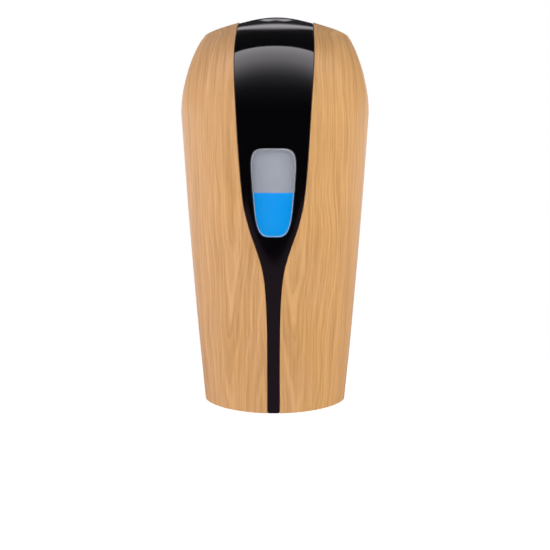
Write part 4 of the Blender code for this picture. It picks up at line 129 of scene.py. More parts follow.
# Openings in the panel: the window, seen from the front, and the button, seen from above. Each is two
# half superellipses, high and low, that widen upwards by a taper.
Opening = namedtuple("Opening", "half_width high low high_power low_power taper_share")
WINDOW = Opening(
    half_width=0.0143, high=0.0298, low=0.0298, high_power=5.0, low_power=4.2, taper_share=0.17
)
BUTTON = Opening(
    half_width=0.0210, high=0.0115, low=0.0065, high_power=1.8, low_power=2.6, taper_share=0
)
WINDOW_CENTRE_HEIGHT = 0.1504
BUTTON_CENTRE_REACH = 0.0200
WINDOW_BAND_LEVELS = (0.56, 0.92)
BUTTON_BAND_LEVELS = (2.48, 2.975)

# Window lens
AIR_GAP = 0.0003
LENS_GAP = 0.0004
LENS_SINK = 0.0005
LENS_LIP = 0.0032
LENS_FLANGE_WALL = 0.0012
LENS_CORE_SHARE = 0.08
LENS_SPOKES = 96
LENS_IOR = 1.58

# Tongue behind the foot of the panel
TONGUE_HEIGHT = 0.0036
TONGUE_LAP = 0.0015
TONGUE_WALL = 0.0004

# Latch button, its hook and its springs
BUTTON_GAP = 0.0004
BUTTON_SINK = 0.0004
BUTTON_WALL = 0.0020
BUTTON_DISH = 0.0014
BUTTON_CORE_SHARE = 0.06
BUTTON_SPOKES = 88
STEM_HALF_WIDTH = 0.0060
STEM_REACH = 0.0190
STEM_WALL = 0.0020
HOOK_HEIGHT = 0.2490
HOOK_WALL = 0.0018
HOOK_LENGTH = 0.0090
SPRING_WIRE_RADIUS = 0.00035
SPRING_CURLS = 4

# How finely the hood is measured, and how finely the new pieces are drawn
ROW_SAMPLES = 240
NOSE_SAMPLES = 150
OUTLINE_SAMPLES = 720
WINDOW_SOLVE_STEPS = 3
BUTTON_SOLVE_STEPS = 24
WALL_ROWS = 46
DOME_ROWS = 22
ROOF_ROWS = 12
TONGUE_ROWS = 4
SHELL_COLUMNS = 40
PANEL_COLUMNS = 24
HOLE_LOOPS = 7
HOLE_EASE_POWER = 1.6
PLUG_LOOPS = 6
SPRING_CURL_POINTS = 24
WIRE_ROUNDNESS = 3

# Soap, tank and cells: height of the soap, strength of the painted glow that lights soap and tank in place
# of the light that the recess behind the window keeps from them, and where along X a cell's sleeve turns
# from blue to copper
SOAP_LEVEL = 0.1500
SOAP_PAINTED_GLOW = 0.72
TANK_PAINTED_GLOW = 0.175
SLEEVE_END_PLACE = 0.0106

# Values between which nearly all of a noise texture lies, and what makes a mix node mix colours
NOISE_SPAN = {1: 0.3, 2: 0.7}
COLOUR_MIX = {"output": 2, "data_type": "RGBA"}

# Brightness of the room in reflections, as a share of the soft boxes' level, by share of a turn: from
# straight down (0) over the front (0.25), overhead (0.5) and the back (0.75). The front is a dark room.
# A soft box hangs over the front of the hood, with a narrow strip and a second box behind it.
SOFT_BOX_LEVEL = 4.0
SOFT_BOX_TINT_SHARES = (1.0, 0.96, 1.01)
BOX_BOW_SHARE = -0.04
ROOM_STOPS = (
    (0.000, 0.010),
    (0.250, 0.004),
    (0.281, 0.006),
    (0.328, 0.015),
    (0.372, 0.028),
    (0.400, 0.055),
    (0.431, 0.105),
    (0.458, 0.208),
    (0.486, 0.368),
    (0.514, 0.550),
    (0.556, 0.650),
    (0.575, 0.700),
    (0.577, 0.006),
    (0.655, 0.006),
    (0.664, 0.012),
    (0.667, 0.060),
    (0.670, 0.200),
    (0.672, 0.260),
    (0.682, 0.260),
    (0.684, 0.010),
    (0.714, 0.010),
    (0.722, 0.400),
    (0.850, 0.400),
    (1.000, 0.010),
)

# Floor: the camera sees it white, and in the gloss it is a dim violet
FLOOR_PAINT = (0.8, 0.8, 0.8)
FLOOR_GLOW = 0.8
FLOOR_IN_GLOSS = (0.28, 0.19, 0.25)

# Lamps: name, place, width and which of the stage's powers each one takes
LAMPS = (
    ("key", (0.0, -1.75, 0.3), 0.8, "key_power"),
    ("left", (-1.2, -0.55, 0.25), 0.6, "side_power"),
    ("right", (1.2, -0.55, 0.25), 0.6, "side_power"),
)
LAMP_TARGET = Vector((0, -0.06, -0.02))


def linear(code):
    """Turn an sRGB hex value into linear red, green and blue."""
    parts = [int(code[start : start + 2], 16) / 255 for start in (1, 3, 5)]
    return tuple(p / 12.92 if p <= 0.04045 else ((p + 0.055) / 1.055) ** 2.4 for p in parts)


# Hood form


def between(low, high, share):
    """Give the value at a share of the way between two others."""
    return low + (high - low) * share


def spread(low, high, count):
    """Give evenly spaced values, both ends included."""
    return [between(low, high, step / count) for step in range(count + 1)]


def smooth_table(knots, share):
    """Read a table of (place, value) shares along a smooth curve through its knots."""
    places = [place for place, value in knots]
    values = [value for place, value in knots]
    last = len(knots) - 1
    index = min(max(sum(place <= share for place in places) - 1, 0), last - 1)
    slopes = []
    for knot in (index, index + 1):
        before = max(knot - 1, 0)
        after = min(knot + 1, last)
        slopes.append((values[after] - values[before]) / (places[after] - places[before]))
    span = places[index + 1] - places[index]
    step = (share - places[index]) / span
    rise = (2 * step**3 - 3 * step**2 + 1) * values[index] + (3 * step**2 - 2 * step**3) * values[index + 1]
    lean = (step**3 - 2 * step**2 + step) * slopes[0] + (step**3 - step**2) * slopes[1]
    return rise + span * lean


def station_at(level):
    """Give half width, depth, side length, rim height, nose height and roof share of a row of the hood."""
    if level <= WALL_LEVEL:
        swell = level * (1 - level)
        height = SHOULDER_HEIGHT * level
        return (
            between(COVER_FOOT_HALF_WIDTH, COVER_MAX_HALF_WIDTH, level + SIDE_BULGE_SHARE * swell),
            between(COVER_FOOT_DEPTH, COVER_DEPTH, level + DEPTH_BULGE_SHARE * swell),
            SIDE_LENGTH,
            height + FOOT_RISE * (1 - level) ** FOOT_FADE_POWER,
            height,
            0,
        )
    if level <= DOME_LEVEL:
        share = level - WALL_LEVEL
        angle = DOME_END_ANGLE * share
        reach = (COVER_DEPTH - BROW_DEPTH) / (1 - math.cos(DOME_END_ANGLE))
        rise = math.sin(angle) / math.sin(DOME_END_ANGLE)
        rim = between(SHOULDER_HEIGHT, CORNER_HEIGHT, rise)
        return (
            between(COVER_MAX_HALF_WIDTH, CORNER_HALF_WIDTH, rise**SHOULDER_POWER),
            COVER_DEPTH - reach * (1 - math.cos(angle)),
            SIDE_LENGTH * (1 - share**SIDE_FADE_POWER),
            rim,
            between(SHOULDER_HEIGHT, BROW_HEIGHT, rise),
            0,
        )
    share = min(level - DOME_LEVEL, 1)
    rise = ROOF_LEAN_SHARE * share + (1 - ROOF_LEAN_SHARE) * share**2
    return (
        CORNER_HALF_WIDTH,
        between(BROW_DEPTH, COVER_REAR_GAP, share),
        0,
        CORNER_HEIGHT,
        between(BROW_HEIGHT, COVER_HEIGHT, rise),
        share,
    )


@functools.cache
def row_curve(level):
    """Sample the right half of a row from the nose to the rim: across, back, height and travel."""
    half_width, depth, side_length, rim_height, nose_height, roof_share = station_at(level)
    nose_length = depth - COVER_REAR_GAP - side_length
    angles = np.linspace(0, math.pi / 2, ROW_SAMPLES)
    across = half_width * np.sin(angles)
    round_part = NOSE_ROUND_SHARE * (1 - np.cos(angles))
    back = nose_length * (round_part + (1 - NOSE_ROUND_SHARE) * np.sin(angles) ** 2) - depth
    if side_length > 0:
        across = np.append(across, half_width)
        back = np.append(back, -COVER_REAR_GAP)
    length = depth - COVER_REAR_GAP
    back_share = (back + depth) / length if length > 0 else np.zeros_like(back)
    arch_share = 1 - (across / half_width) ** 2
    rise = (1 - roof_share) * (1 - back_share**2) + roof_share * arch_share
    height = rim_height + (nose_height - rim_height) * rise
    steps = np.sqrt(np.diff(across) ** 2 + np.diff(back) ** 2 + np.diff(height) ** 2)
    return across, back, height, np.concatenate(([0], np.cumsum(steps)))


def row_length(level):
    """Give the length of half a row, from the nose to the rim."""
    return row_curve(level)[3][-1]


def row_point(level, travel):
    """Give the point on the hood at a signed distance along its row from the nose."""
    across, back, height, travels = row_curve(level)
    reach = abs(travel)
    return Vector(
        (
            math.copysign(np.interp(reach, travels, across), travel),
            np.interp(reach, travels, back),
            np.interp(reach, travels, height),
        )
    )


def travel_to(level, across):
    """Give the signed distance along a row at which it stands a given width from the middle."""
    curve = row_curve(level)
    return math.copysign(float(np.interp(abs(across), curve[0], curve[3])), across)


def outward(level, travel):
    """Give the hood's outward direction at a point of a row."""
    share = min(abs(travel) / row_length(level), RIM_SLOPE_SHARE)
    low = max(level - SLOPE_STEP_SHARE, 0)
    high = min(level + SLOPE_STEP_SHARE, ROOF_LEVEL)
    upward = row_point(high, share * row_length(high)) - row_point(low, share * row_length(low))
    right = (share + SLOPE_STEP_SHARE) * row_length(level)
    left = (share - SLOPE_STEP_SHARE) * row_length(level)
    direction = (row_point(level, right) - row_point(level, left)).cross(upward).normalized()
    direction.x = math.copysign(direction.x, travel) if travel else 0
    return direction


def hood_point(level, travel, inset=0, rear_reach=COVER_REAR_GAP):
    """Give a point of the hood in the model's frame, set in below its surface by a distance."""
    point = row_point(level, travel)
    if inset:
        point -= outward(level, travel) * inset
    point.y = min(point.y, -rear_reach)
    point.z -= MOUNT_HEIGHT
    return point


def seam_half_width(level):
    """Give the half width of the centre panel where it crosses a row."""
    return PANEL_HALF_WIDTH * smooth_table(SEAM_KNOT_SHARES, station_at(level)[4] / COVER_HEIGHT)


def seam_travel(level):
    """Give the distance along a row from the nose to the seam."""
    return travel_to(level, seam_half_width(level))


@functools.cache
def nose_table():
    """Give levels and the length along the hood's middle line up to each of them."""
    levels = spread(0, ROOF_LEVEL, NOSE_SAMPLES)
    points = [row_point(level, 0) for level in levels]
    steps = [(b - a).length for a, b in zip(points, points[1:])]
    return levels, np.concatenate(([0], np.cumsum(steps)))


def nose_length_to(level):
    """Give the length along the hood's middle line up to a level."""
    return float(np.interp(level, *nose_table()))


def hood_levels():
    """List the levels of the rows of the hood's skins."""
    wall = spread(0, WALL_LEVEL, WALL_ROWS)
    dome = spread(WALL_LEVEL, DOME_LEVEL, DOME_ROWS)[1:]
    return wall + dome + spread(DOME_LEVEL, ROOF_LEVEL, ROOF_ROWS)[1:]


# Outlines of the window and the button


@functools.cache
def outline_of(opening, grow):
    """Give an opening's outline, grown by a margin, as rising angles and their radii about its centre."""
    angles = []
    radii = []
    for step in range(OUTLINE_SAMPLES):
        angle = math.tau * step / OUTLINE_SAMPLES
        upper = step <= OUTLINE_SAMPLES / 2
        power = opening.high_power if upper else opening.low_power
        length = (opening.high if upper else opening.low) + grow
        across, along = (
            math.copysign(abs(part) ** (2 / power), part) for part in (math.cos(angle), math.sin(angle))
        )
        x = (opening.half_width + grow) * across * (1 + opening.taper_share * along)
        y = length * along
        angles.append(math.atan2(y, x) % math.tau)
        radii.append(math.hypot(x, y))
    order = np.argsort(angles)
    return np.array(angles)[order], np.array(radii)[order]


def outline_point(outline, angle, share=1):
    """Give the flat point of an outline at an angle, or at a share of the way out to it."""
    angles, radii = outline
    radius = share * float(np.interp(angle % math.tau, angles, radii, period=math.tau))
    return radius * math.cos(angle), radius * math.sin(angle)


def window_place(flat):
    """Give level and travel on the hood for a flat point seen from the front."""
    across, up = flat
    height = WINDOW_CENTRE_HEIGHT + up
    level = height / SHOULDER_HEIGHT
    for _ in range(WINDOW_SOLVE_STEPS):
        level += (height - row_point(level, travel_to(level, across)).z) / SHOULDER_HEIGHT
    return level, travel_to(level, across)


def button_place(flat):
    """Give level and travel on the roof for a flat point seen from above."""
    across, along = flat
    reach = along - BUTTON_CENTRE_REACH
    low, high = DOME_LEVEL, ROOF_LEVEL
    for _ in range(BUTTON_SOLVE_STEPS):
        middle = (low + high) / 2
        if row_point(middle, travel_to(middle, across)).y < reach:
            low = middle
        else:
            high = middle
    return middle, travel_to(middle, across)


# Sheets of quads on the hood, and the solids made from them


def quads_between(low, high, ring=False):
    """Give the quads that join two rows of equal count."""
    count = len(low)
    pairs = [(step, (step + 1) % count) for step in range(count if ring else count - 1)]
    return [(low[a], low[b], high[b], high[a]) for a, b in pairs]


class Sheet:
    """Places (level, travel) on the hood, and the faces that join them, seen from outside."""

    def __init__(self, rows=()):
        self.places = []
        self.faces = []
        self.add_rows(rows)

    def add_row(self, places):
        """Add places and give their numbers."""
        first = len(self.places)
        self.places += places
        return list(range(first, len(self.places)))

    def add_rows(self, rows, last=None):
        """Add rows, each joined to the one before it, and give the numbers of the last."""
        for row in rows:
            numbers = self.add_row(row)
            if last:
                self.faces += quads_between(last, numbers)
            last = numbers
        return last


def middle_row(level, margin):
    """Give the places of a row across the middle of the hood that ends a margin past the seams."""
    edge = seam_travel(level) + margin
    return [(level, travel) for travel in spread(-edge, edge, PANEL_COLUMNS)]


def add_holed_band(sheet, rows, outline, place):
    """Fill a band of rows with quads that run round an opening, and give the lowest and highest row."""
    low, high = (sheet.add_row(row) for row in (rows[0], rows[-1]))
    left, right = ([sheet.add_row([row[end]])[0] for row in rows[1:-1]] for end in (0, -1))
    edge = low + right + high[::-1] + left[::-1]
    centre_level, _ = place((0, 0))
    origin = row_point(centre_level, 0)
    ends = []
    for number in edge:
        outer = sheet.places[number]
        point = row_point(*outer)
        along = point.z - origin.z if centre_level < WALL_LEVEL else point.y - origin.y
        inner = place(outline_point(outline, math.atan2(along, point.x)))
        ends.append((outer, inner, outer[1] / row_length(outer[0]), inner[1] / row_length(inner[0])))
    last = edge
    for loop in range(1, HOLE_LOOPS + 1):
        ease = 1 - (1 - loop / HOLE_LOOPS) ** HOLE_EASE_POWER
        places = []
        for outer, inner, outer_share, inner_share in ends:
            level = between(outer[0], inner[0], ease)
            places.append((level, between(outer_share, inner_share, ease) * row_length(level)))
        numbers = sheet.add_row(places)
        sheet.faces += quads_between(last, numbers, ring=True)
        last = numbers
    return low, high


def panel_sheet():
    """Lay out the centre panel with its window and its button opening."""
    sheet = Sheet()
    margin = -SEAM_GAP / 2
    bands = (
        (WINDOW_BAND_LEVELS, WINDOW, window_place),
        (BUTTON_BAND_LEVELS, BUTTON, button_place),
    )
    last = None
    done = -1
    for (low, high), opening, place in bands:
        rows = [middle_row(level, margin) for level in hood_levels() if done < level < low]
        last = sheet.add_rows(rows, last)
        rows = [middle_row(level, margin) for level in spread(low, high, PANEL_COLUMNS)]
        foot, head = add_holed_band(sheet, rows, outline_of(opening, 0), place)
        sheet.faces += quads_between(last, foot)
        last = head
        done = high
    sheet.add_rows([middle_row(level, margin) for level in hood_levels() if level > done], last)
    return sheet


def tongue_sheet():
    """Lay out the panel's tongue, which closes the seams from behind below the carrier's foot."""
    levels = spread(0, TONGUE_HEIGHT / SHOULDER_HEIGHT, TONGUE_ROWS)
    return Sheet([middle_row(level, TONGUE_LAP) for level in levels])


def shell_sheet(side):
    """Lay out one side of the hood, from the seam to the rim at the wall."""
    rows = []
    for level in hood_levels():
        travels = spread(seam_travel(level) + SEAM_GAP / 2, row_length(level), SHELL_COLUMNS)
        if side < 0:
            travels = [-travel for travel in reversed(travels)]
        rows.append([(level, travel) for travel in travels])
    return Sheet(rows)


def new_mesh(name, points, faces):
    """Make a mesh from points and faces."""
    mesh = bpy.data.meshes.new(name)
    mesh.from_pydata(points, [], faces)
    return mesh


def solid_from_sheet(name, sheet, outer_inset, inner_inset):
    """Give a sheet its wall between two depths below the hood, with the grain's run in its UV map.

    The inner face takes the piece's second material.
    """
    outer, inner = (
        [hood_point(level, travel, inset) for level, travel in sheet.places]
        for inset in (outer_inset, inner_inset)
    )
    count = len(outer)
    sides = dict.fromkeys(side for face in sheet.faces for side in zip(face, face[1:] + face[:1]))
    walls = [(b, a, a + count, b + count) for a, b in sides if (b, a) not in sides]
    backs = [tuple(number + count for number in reversed(face)) for face in sheet.faces]
    mesh = new_mesh(name, outer + inner, backs + sheet.faces + walls)
    for polygon in mesh.polygons[: len(backs)]:
        polygon.material_index = 1
    runs = [(travel, nose_length_to(level)) for level, travel in sheet.places] * 2
    layer = mesh.uv_layers.new(name="grain")
    for loop in mesh.loops:
        layer.data[loop.index].uv = runs[loop.vertex_index]
    mesh.validate()
    return mesh_piece(mesh)


def new_object(data):
    """Put data in the scene as an object of the same name."""
    thing = bpy.data.objects.new(data.name, data)
    bpy.context.scene.collection.objects.link(thing)
    return thing


def mesh_piece(mesh):
    """Put a mesh in the scene, shaded smooth."""
    mesh.shade_smooth()
    return new_object(mesh)


def plug_mesh(name, profile, place, spokes, edge_loop=None):
    """Loft loops round an opening's centre, and close both ends.

    Each loop is (outline, share of the way out, depth below the hood). The faces that follow the edge
    loop take the piece's second material.
    """
    points = []
    for outline, share, inset in profile:
        for step in range(spokes):
            level, travel = place(outline_point(outline, math.tau * step / spokes, share))
            points.append(hood_point(level, travel, inset, 0))
    loops = [range(first, first + spokes) for first in range(0, len(points), spokes)]
    faces = [quad for low, high in zip(loops, loops[1:]) for quad in quads_between(high, low, ring=True)]
    faces += [tuple(loops[0]), tuple(reversed(loops[-1]))]
    mesh = new_mesh(name, points, faces)
    if edge_loop is not None:
        for polygon in mesh.polygons[edge_loop * spokes : (edge_loop + 1) * spokes]:
            polygon.material_index = 1
    return mesh


def bar_mesh(name, outline, half_width):
    """Make a bar along X from an outline of (y, height) points."""
    count = len(outline)
    points = [(x, y, z - MOUNT_HEIGHT) for x in (-half_width, half_width) for y, z in outline]
    left, right = range(count), range(count, 2 * count)
    faces = [tuple(reversed(left)), tuple(right), *quads_between(left, right, ring=True)]
    return new_mesh(name, points, faces)


def wire_mesh(name, points, radius):
    """Make a round wire through points."""
    curve = bpy.data.curves.new(name, "CURVE")
    curve.dimensions = "3D"
    curve.bevel_depth = radius
    curve.bevel_resolution = WIRE_ROUNDNESS
    curve.use_fill_caps = True
    spline = curve.splines.new("POLY")
    spline.points.add(len(points) - 1)
    for spot, point in zip(spline.points, points):
        spot.co = (*point, 1)
    model = bpy.data.objects.new(name, curve)
    mesh = bpy.data.meshes.new_from_object(model)
    bpy.data.objects.remove(model)
    mesh.name = name
    return mesh


def round_edges(thing, radius, segments=BEVEL_SEGMENTS):
    """Round a piece's sharp edges when it is drawn."""
    bevel = thing.modifiers.new("Rounded edges", "BEVEL")
    bevel.width = radius
    bevel.segments = segments
    bevel.limit_method = "ANGLE"
    bevel.angle_limit = BEVEL_ANGLE
    bevel.harden_normals = True
    bevel.use_clamp_overlap = True


def dress(thing, body, slot, *materials):
    """Give a new piece its materials and its body. The slot that it would take its finish from is not used.
    """
    for material in materials:
        thing.data.materials.append(material)
    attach(thing, body)


# Materials


def fill(node, inputs):
    """Set the inputs of a node, or link them."""
    for name, value in inputs.items():
        socket = node.inputs[name]
        if isinstance(value, bpy.types.NodeSocket):
            node.id_data.links.new(value, socket)
        elif socket.type == "RGBA":
            socket.default_value = (*value[:3], 1)
        else:
            socket.default_value = value


def add_node(tree, prefix, kind, inputs=None, output=0, **settings):
    """Add a node with its settings and its inputs' values and links, and give one of its outputs."""
    node = tree.nodes.new(prefix + kind)
    for name, value in settings.items():
        setattr(node, name, value)
    fill(node, inputs or {})
    return node.outputs[output] if len(node.outputs) else node


def start_material(name, colour, roughness, **values):
    """Make a material with its shader's plain values.

    Gives the material, its shader, the place in the piece and the function that adds its nodes.
    """
    material = bpy.data.materials.new(name)
    material.use_nodes = True
    material.diffuse_color = (*colour, 1)
    shader = material.node_tree.nodes["Principled BSDF"]
    fill(shader, {"Base Color": colour, "Roughness": roughness, **values})
    add = functools.partial(add_node, material.node_tree, "ShaderNode")
    return material, shader, add("TexCoord", output="Object"), add


def finish_surface(
    shader, add, colour=None, roughness=None, height=None, depth_mm=0.0, strength=0.5, alpha=None
):
    """Link a surface's colour, roughness, cover and relief to its shader."""
    links = {"Base Color": colour, "Roughness": roughness, "Alpha": alpha}
    if height:
        relief = {"Height": height, "Strength": strength, "Distance": depth_mm * MILLIMETRE}
        links["Normal"] = add("Bump", relief)
    fill(shader, {name: link for name, link in links.items() if link})


def emptied(data):
    """Empty the nodes of a material or a world, and give the function that adds them."""
    data.use_nodes = True
    data.node_tree.nodes.clear()
    return functools.partial(add_node, data.node_tree, "ShaderNode")


def ray_kinds(add):
    """Give the signals of the rays that show a thing as it is, and of the rays that reflect it."""
    rays = add("LightPath").node.outputs
    seen = {0: rays["Is Camera Ray"], 1: rays["Is Transmission Ray"]}
    return add("Math", seen, operation="MAXIMUM"), rays["Is Glossy Ray"]


def scale_for(cell_mm):
    """Give a pattern's scale from the real size of its cells."""
    return 1 / (cell_mm * MILLIMETRE)


def pattern(place, cell_mm, detail=2.0):
    """Give the inputs of a pattern with cells of a real size."""
    return {"Vector": place, "Scale": scale_for(cell_mm), "Detail": detail}


def toned(colour, share):
    """Give a colour at a share of its brightness."""
    return tuple(share * part for part in colour)


def wood_grain_film(colours, sizes):
    """Oak-look film, printed and satin lacquered, wrapped on moulded ABS.

    To the eye it is a warm straight-grained board: soft bands a few millimetres wide, arches low down
    where the board was cut through the growth rings, and fine darker pores along the grain.
    """
    material, shader, _, add = start_material("wood_grain_film", linear("#CB9A61"), 0.44, IOR=1.49)
    run = add("UVMap", uv_map="grain")
    mm = add("VectorMath", {0: run, 1: (scale_for(1),) * 3}, operation="MULTIPLY")
    parts = add("SeparateXYZ", {0: mm}).node.outputs
    across, up = parts["X"], parts["Y"]

    def grain(width_mm, length_mm, detail=1.0, roughness=0.5):
        """Give noise drawn out along the grain."""
        scale = (1 / width_mm, 1 / length_mm, 0)
        where = add("VectorMath", {0: mm, 1: scale}, operation="MULTIPLY")
        return add("TexNoise", {"Vector": where, "Scale": 1.0, "Detail": detail, "Roughness": roughness})

    # the grain wanders 5 mm sideways over 70 mm of height, and wavers under 1 mm over 26 mm
    bent = across
    for width_mm, length_mm, swing_mm in ((40, 70, 15.0), (9, 26, 2.2)):
        wave = grain(width_mm, length_mm)
        bent = add("Math", {0: wave, 1: swing_mm, 2: bent}, operation="MULTIPLY_ADD")

    # growth rings about a line in each side: arches in the lowest 120 mm, and straight grain above them
    arch_height_mm, arch_slope, arch_round = 120.0, 0.09, 20.0
    beside = add("Math", {0: bent}, operation="ABSOLUTE")
    off = add("Math", {0: beside, 1: sizes.heart_distance / MILLIMETRE}, operation="SUBTRACT")
    squared = add("Math", {0: off, 1: off, 2: arch_round}, operation="MULTIPLY_ADD")
    radius = add("Math", {0: squared}, operation="SQRT")
    low = add("Math", {0: up, 1: arch_height_mm}, operation="MINIMUM")
    rings = add("Math", {0: low, 1: -arch_slope, 2: radius}, operation="MULTIPLY_ADD")
    ring_share = add("Math", {0: rings, 1: sizes.ring_spacing / MILLIMETRE}, operation="DIVIDE")

    # the rings differ in tone, and each slowly changes along 190 mm of its length
    slow = add("Math", {0: up, 1: 1 / 190}, operation="MULTIPLY")
    ring_place = add("CombineXYZ", {"X": ring_share, "Y": slow})
    bands = add("TexNoise", {"Vector": ring_place, "Scale": 1.0, "Detail": 2.0, "Roughness": 0.55})

    # each ring darkens slowly into late wood and ends in a sharp edge, stronger in some rings than others
    ring_run = add("Math", {0: ring_share}, operation="FRACT")
    late = add("Math", {0: ring_run, 1: 3.0}, operation="POWER")
    strong = add("MapRange", {0: grain(7, 60), 1: 0.35, 2: 0.65, 4: -0.10})
    streaks = grain(1.5, 42, 2.0, 0.6)
    fibres = grain(0.55, 11, 2.0, 0.65)
    tone = add("Math", {0: bands, 1: 0.5}, operation="MULTIPLY")
    for layer, weight in ((streaks, 0.35), (fibres, 0.15), (late, strong)):
        tone = add("Math", {0: layer, 1: weight, 2: tone}, operation="MULTIPLY_ADD")
    share = add("MapRange", {0: tone, 1: 0.30, 2: 0.60})
    body = add("Mix", {0: share, 6: colours.wood_dark, 7: colours.wood_light}, **COLOUR_MIX)

    # the film is a shade yellower in places, 60 mm long, and more so to the right
    lean = add("Math", {0: across, 1: 0.006, 2: grain(30, 60)}, operation="MULTIPLY_ADD")
    warm = add("MapRange", {0: lean, **NOISE_SPAN})
    tint = {0: warm, 6: body, 7: colours.wood_warm}
    body = add("Mix", tint, **COLOUR_MIX, blend_type="MULTIPLY")

    # the pores are the darkest fibres
    pores = add("MapRange", {0: fibres, 1: 0.58, 2: 0.72, 4: 0.28})
    film = add("Mix", {0: pores, 6: body, 7: colours.wood_pore}, **COLOUR_MIX)
    sheen = add("MapRange", {0: fibres, **NOISE_SPAN, 3: 0.38, 4: 0.48})
    finish_surface(shader, add, film, sheen, tone, depth_mm=0.05, strength=0.25)
    return material


def gloss_black_abs(colours):
    """ABS moulded in a polished mould, piano gloss.

    The eye sees a near-black mirror with the faintest waviness of a thick moulding.
    """
    material, shader, place, add = start_material("gloss_black_abs", colours.panel_black, 0.05, IOR=1.52)
    haze = add("TexNoise", pattern(place, 3.85, 3.0))
    sheen = add("MapRange", {0: haze, **NOISE_SPAN, 3: 0.04, 4: 0.07})
    ripple = add("TexNoise", pattern(place, 22.2, 1.0))
    finish_surface(shader, add, None, sheen, ripple, depth_mm=0.1, strength=0.05)
    return material


def moulded(name, colour, roughness, grit_mm, grit_depth_mm, ior=1.54, cloud=0.05):
    """Finish of a plain injection moulding: a spark-eroded grain and slightly uneven sheen.

    Real mould grain is 0.1 to 0.2 mm across, so it is drawn three to six times as coarse to show.
    """
    material, shader, place, add = start_material(name, colour, roughness, IOR=ior)
    grit = add("TexNoise", pattern(place, grit_mm))
    clouds = add("TexNoise", pattern(place, 26.3))
    body = add("Mix", {0: clouds, 6: toned(colour, 1 - cloud), 7: colour}, **COLOUR_MIX)
    sheen = add("MapRange", {0: clouds, **NOISE_SPAN, 3: 0.85 * roughness, 4: 1.15 * roughness})
    finish_surface(shader, add, body, sheen, grit, grit_depth_mm)
    return material


def clear_lens(colours):
    """Polycarbonate moulded clear with a light smoke tint, polished both sides.

    It mirrors like glass and takes a little light away from what is behind it.
    """
    material, shader, place, add = start_material("clear_lens", colours.lens_tint, 0.06, IOR=LENS_IOR)
    mirror = add("Fresnel", {"IOR": LENS_IOR})
    smoke = add("TexNoise", pattern(place, 16.7))
    haze = add("MapRange", {0: smoke, **NOISE_SPAN, 3: 0.01, 4: 0.03})
    cover = add("Math", {0: mirror, 1: haze}, operation="ADD")
    finish_surface(shader, add, alpha=cover)
    return material


def tank_plastic(colours):
    """Polypropylene, blow-moulded and left natural, frosted on its inner face.

    Empty it is milky and passes on a little light from behind. Where soap wets the frosted face it
    clears, so the liquid shows through. A small painted glow brightens it in place of the light that
    the recess behind the window keeps from it.
    """
    material, shader, place, add = start_material("natural_polypropylene", colours.tank, 0.34, IOR=1.49)
    height = add("SeparateXYZ", {0: place}, output="Z")
    level = SOAP_LEVEL - MOUNT_HEIGHT
    blur = 0.4 * MILLIMETRE
    dry = add("MapRange", {0: height, 1: level - blur, 2: level + blur})
    clouds = add("TexNoise", pattern(place, 18.2, 3.0))
    milk = add("MapRange", {0: clouds, **NOISE_SPAN, 3: 0.86, 4: 0.94})
    wet = add("MapRange", {0: clouds, **NOISE_SPAN, 3: 0.0, 4: 0.015})
    cover = add("MapRange", {0: dry, 3: wet, 4: milk})
    # painted glow: the tank lights itself a little in its own colour
    fill(shader, {"Emission Color": colours.tank, "Emission Strength": TANK_PAINTED_GLOW})
    sheen = add("MapRange", {0: clouds, **NOISE_SPAN, 3: 0.28, 4: 0.40})
    wave = add("TexNoise", pattern(place, 8.33, 1.0))
    finish_surface(shader, add, None, sheen, wave, depth_mm=0.1, strength=0.25, alpha=cover)
    return material


def liquid_soap(colours):
    """Blue liquid soap: a clear dyed gel, with a few fine bubbles at its surface.

    It glows with a painted light in a paler blue, in place of the light that the recess behind the window
    keeps from it, so it looks lit from within.
    """
    material, shader, place, add = start_material("liquid_soap", colours.soap, 0.12, IOR=1.38)
    depth = {"Subsurface Radius": (0.1, 0.5, 1.0), "Subsurface Scale": 6 * MILLIMETRE}
    fill(shader, {"Subsurface Weight": 0.25, **depth})
    # painted glow: the soap lights itself, standing in for the light that the recess keeps from it
    fill(shader, {"Emission Color": colours.soap_painted_glow, "Emission Strength": SOAP_PAINTED_GLOW})
    drift = add("TexNoise", pattern(place, 38.5))
    body = add("Mix", {0: drift, 6: toned(colours.soap, 0.9), 7: colours.soap}, **COLOUR_MIX)
    cells = add("TexVoronoi", pattern(place, 4.76, 0.0))
    bubbles = add("MapRange", {0: cells, 2: 0.22, 3: 1.0, 4: 0.0})
    finish_surface(shader, add, body, None, bubbles, depth_mm=0.2, strength=0.1)
    return material


def turned_metal(name, colour, roughness):
    """Drawn or turned metal: fine rings and streaks, 0.4 mm apart, that stretch its highlights."""
    material, shader, place, add = start_material(name, colour, roughness, Metallic=1.0)
    scale = tuple(map(scale_for, (0.417, 3.33, 3.33)))
    where = add("VectorMath", {0: place, 1: scale}, operation="MULTIPLY")
    rings = add("TexNoise", {"Vector": where, "Scale": 1.0, "Detail": 2.0})
    sheen = add("MapRange", {0: rings, **NOISE_SPAN, 3: roughness - 0.08, 4: roughness + 0.1})
    body = add("Mix", {0: rings, 6: toned(colour, 0.88), 7: colour}, **COLOUR_MIX)
    finish_surface(shader, add, body, sheen)
    return material


def board_laminate():
    """Glass-epoxy board under green solder mask: satin, with the tracks showing as lighter lines."""
    base = linear("#0F5A37")
    material, shader, place, add = start_material("board_laminate", base, 0.42, IOR=1.55)
    # tracks 0.4 mm wide, every 0.6 mm one way and every 1.25 mm the other, broken up into runs
    where = add("VectorMath", {0: place, 1: (scale_for(2.5),) * 3}, operation="MULTIPLY")
    tracks = add("TexBrick", {"Vector": where, "Scale": 1.0, "Mortar Size": 0.08}, output="Fac")
    patches = add("TexNoise", pattern(place, 6.67, 1.0))
    runs = add("MapRange", {0: patches, 1: 0.45, 2: 0.55})
    share = add("Math", {0: tracks, 1: runs}, operation="MULTIPLY")
    body = add("Mix", {0: share, 6: base, 7: linear("#2F8A5C")}, **COLOUR_MIX)
    finish_surface(shader, add, body, None, share, depth_mm=0.04, strength=0.4)
    return material


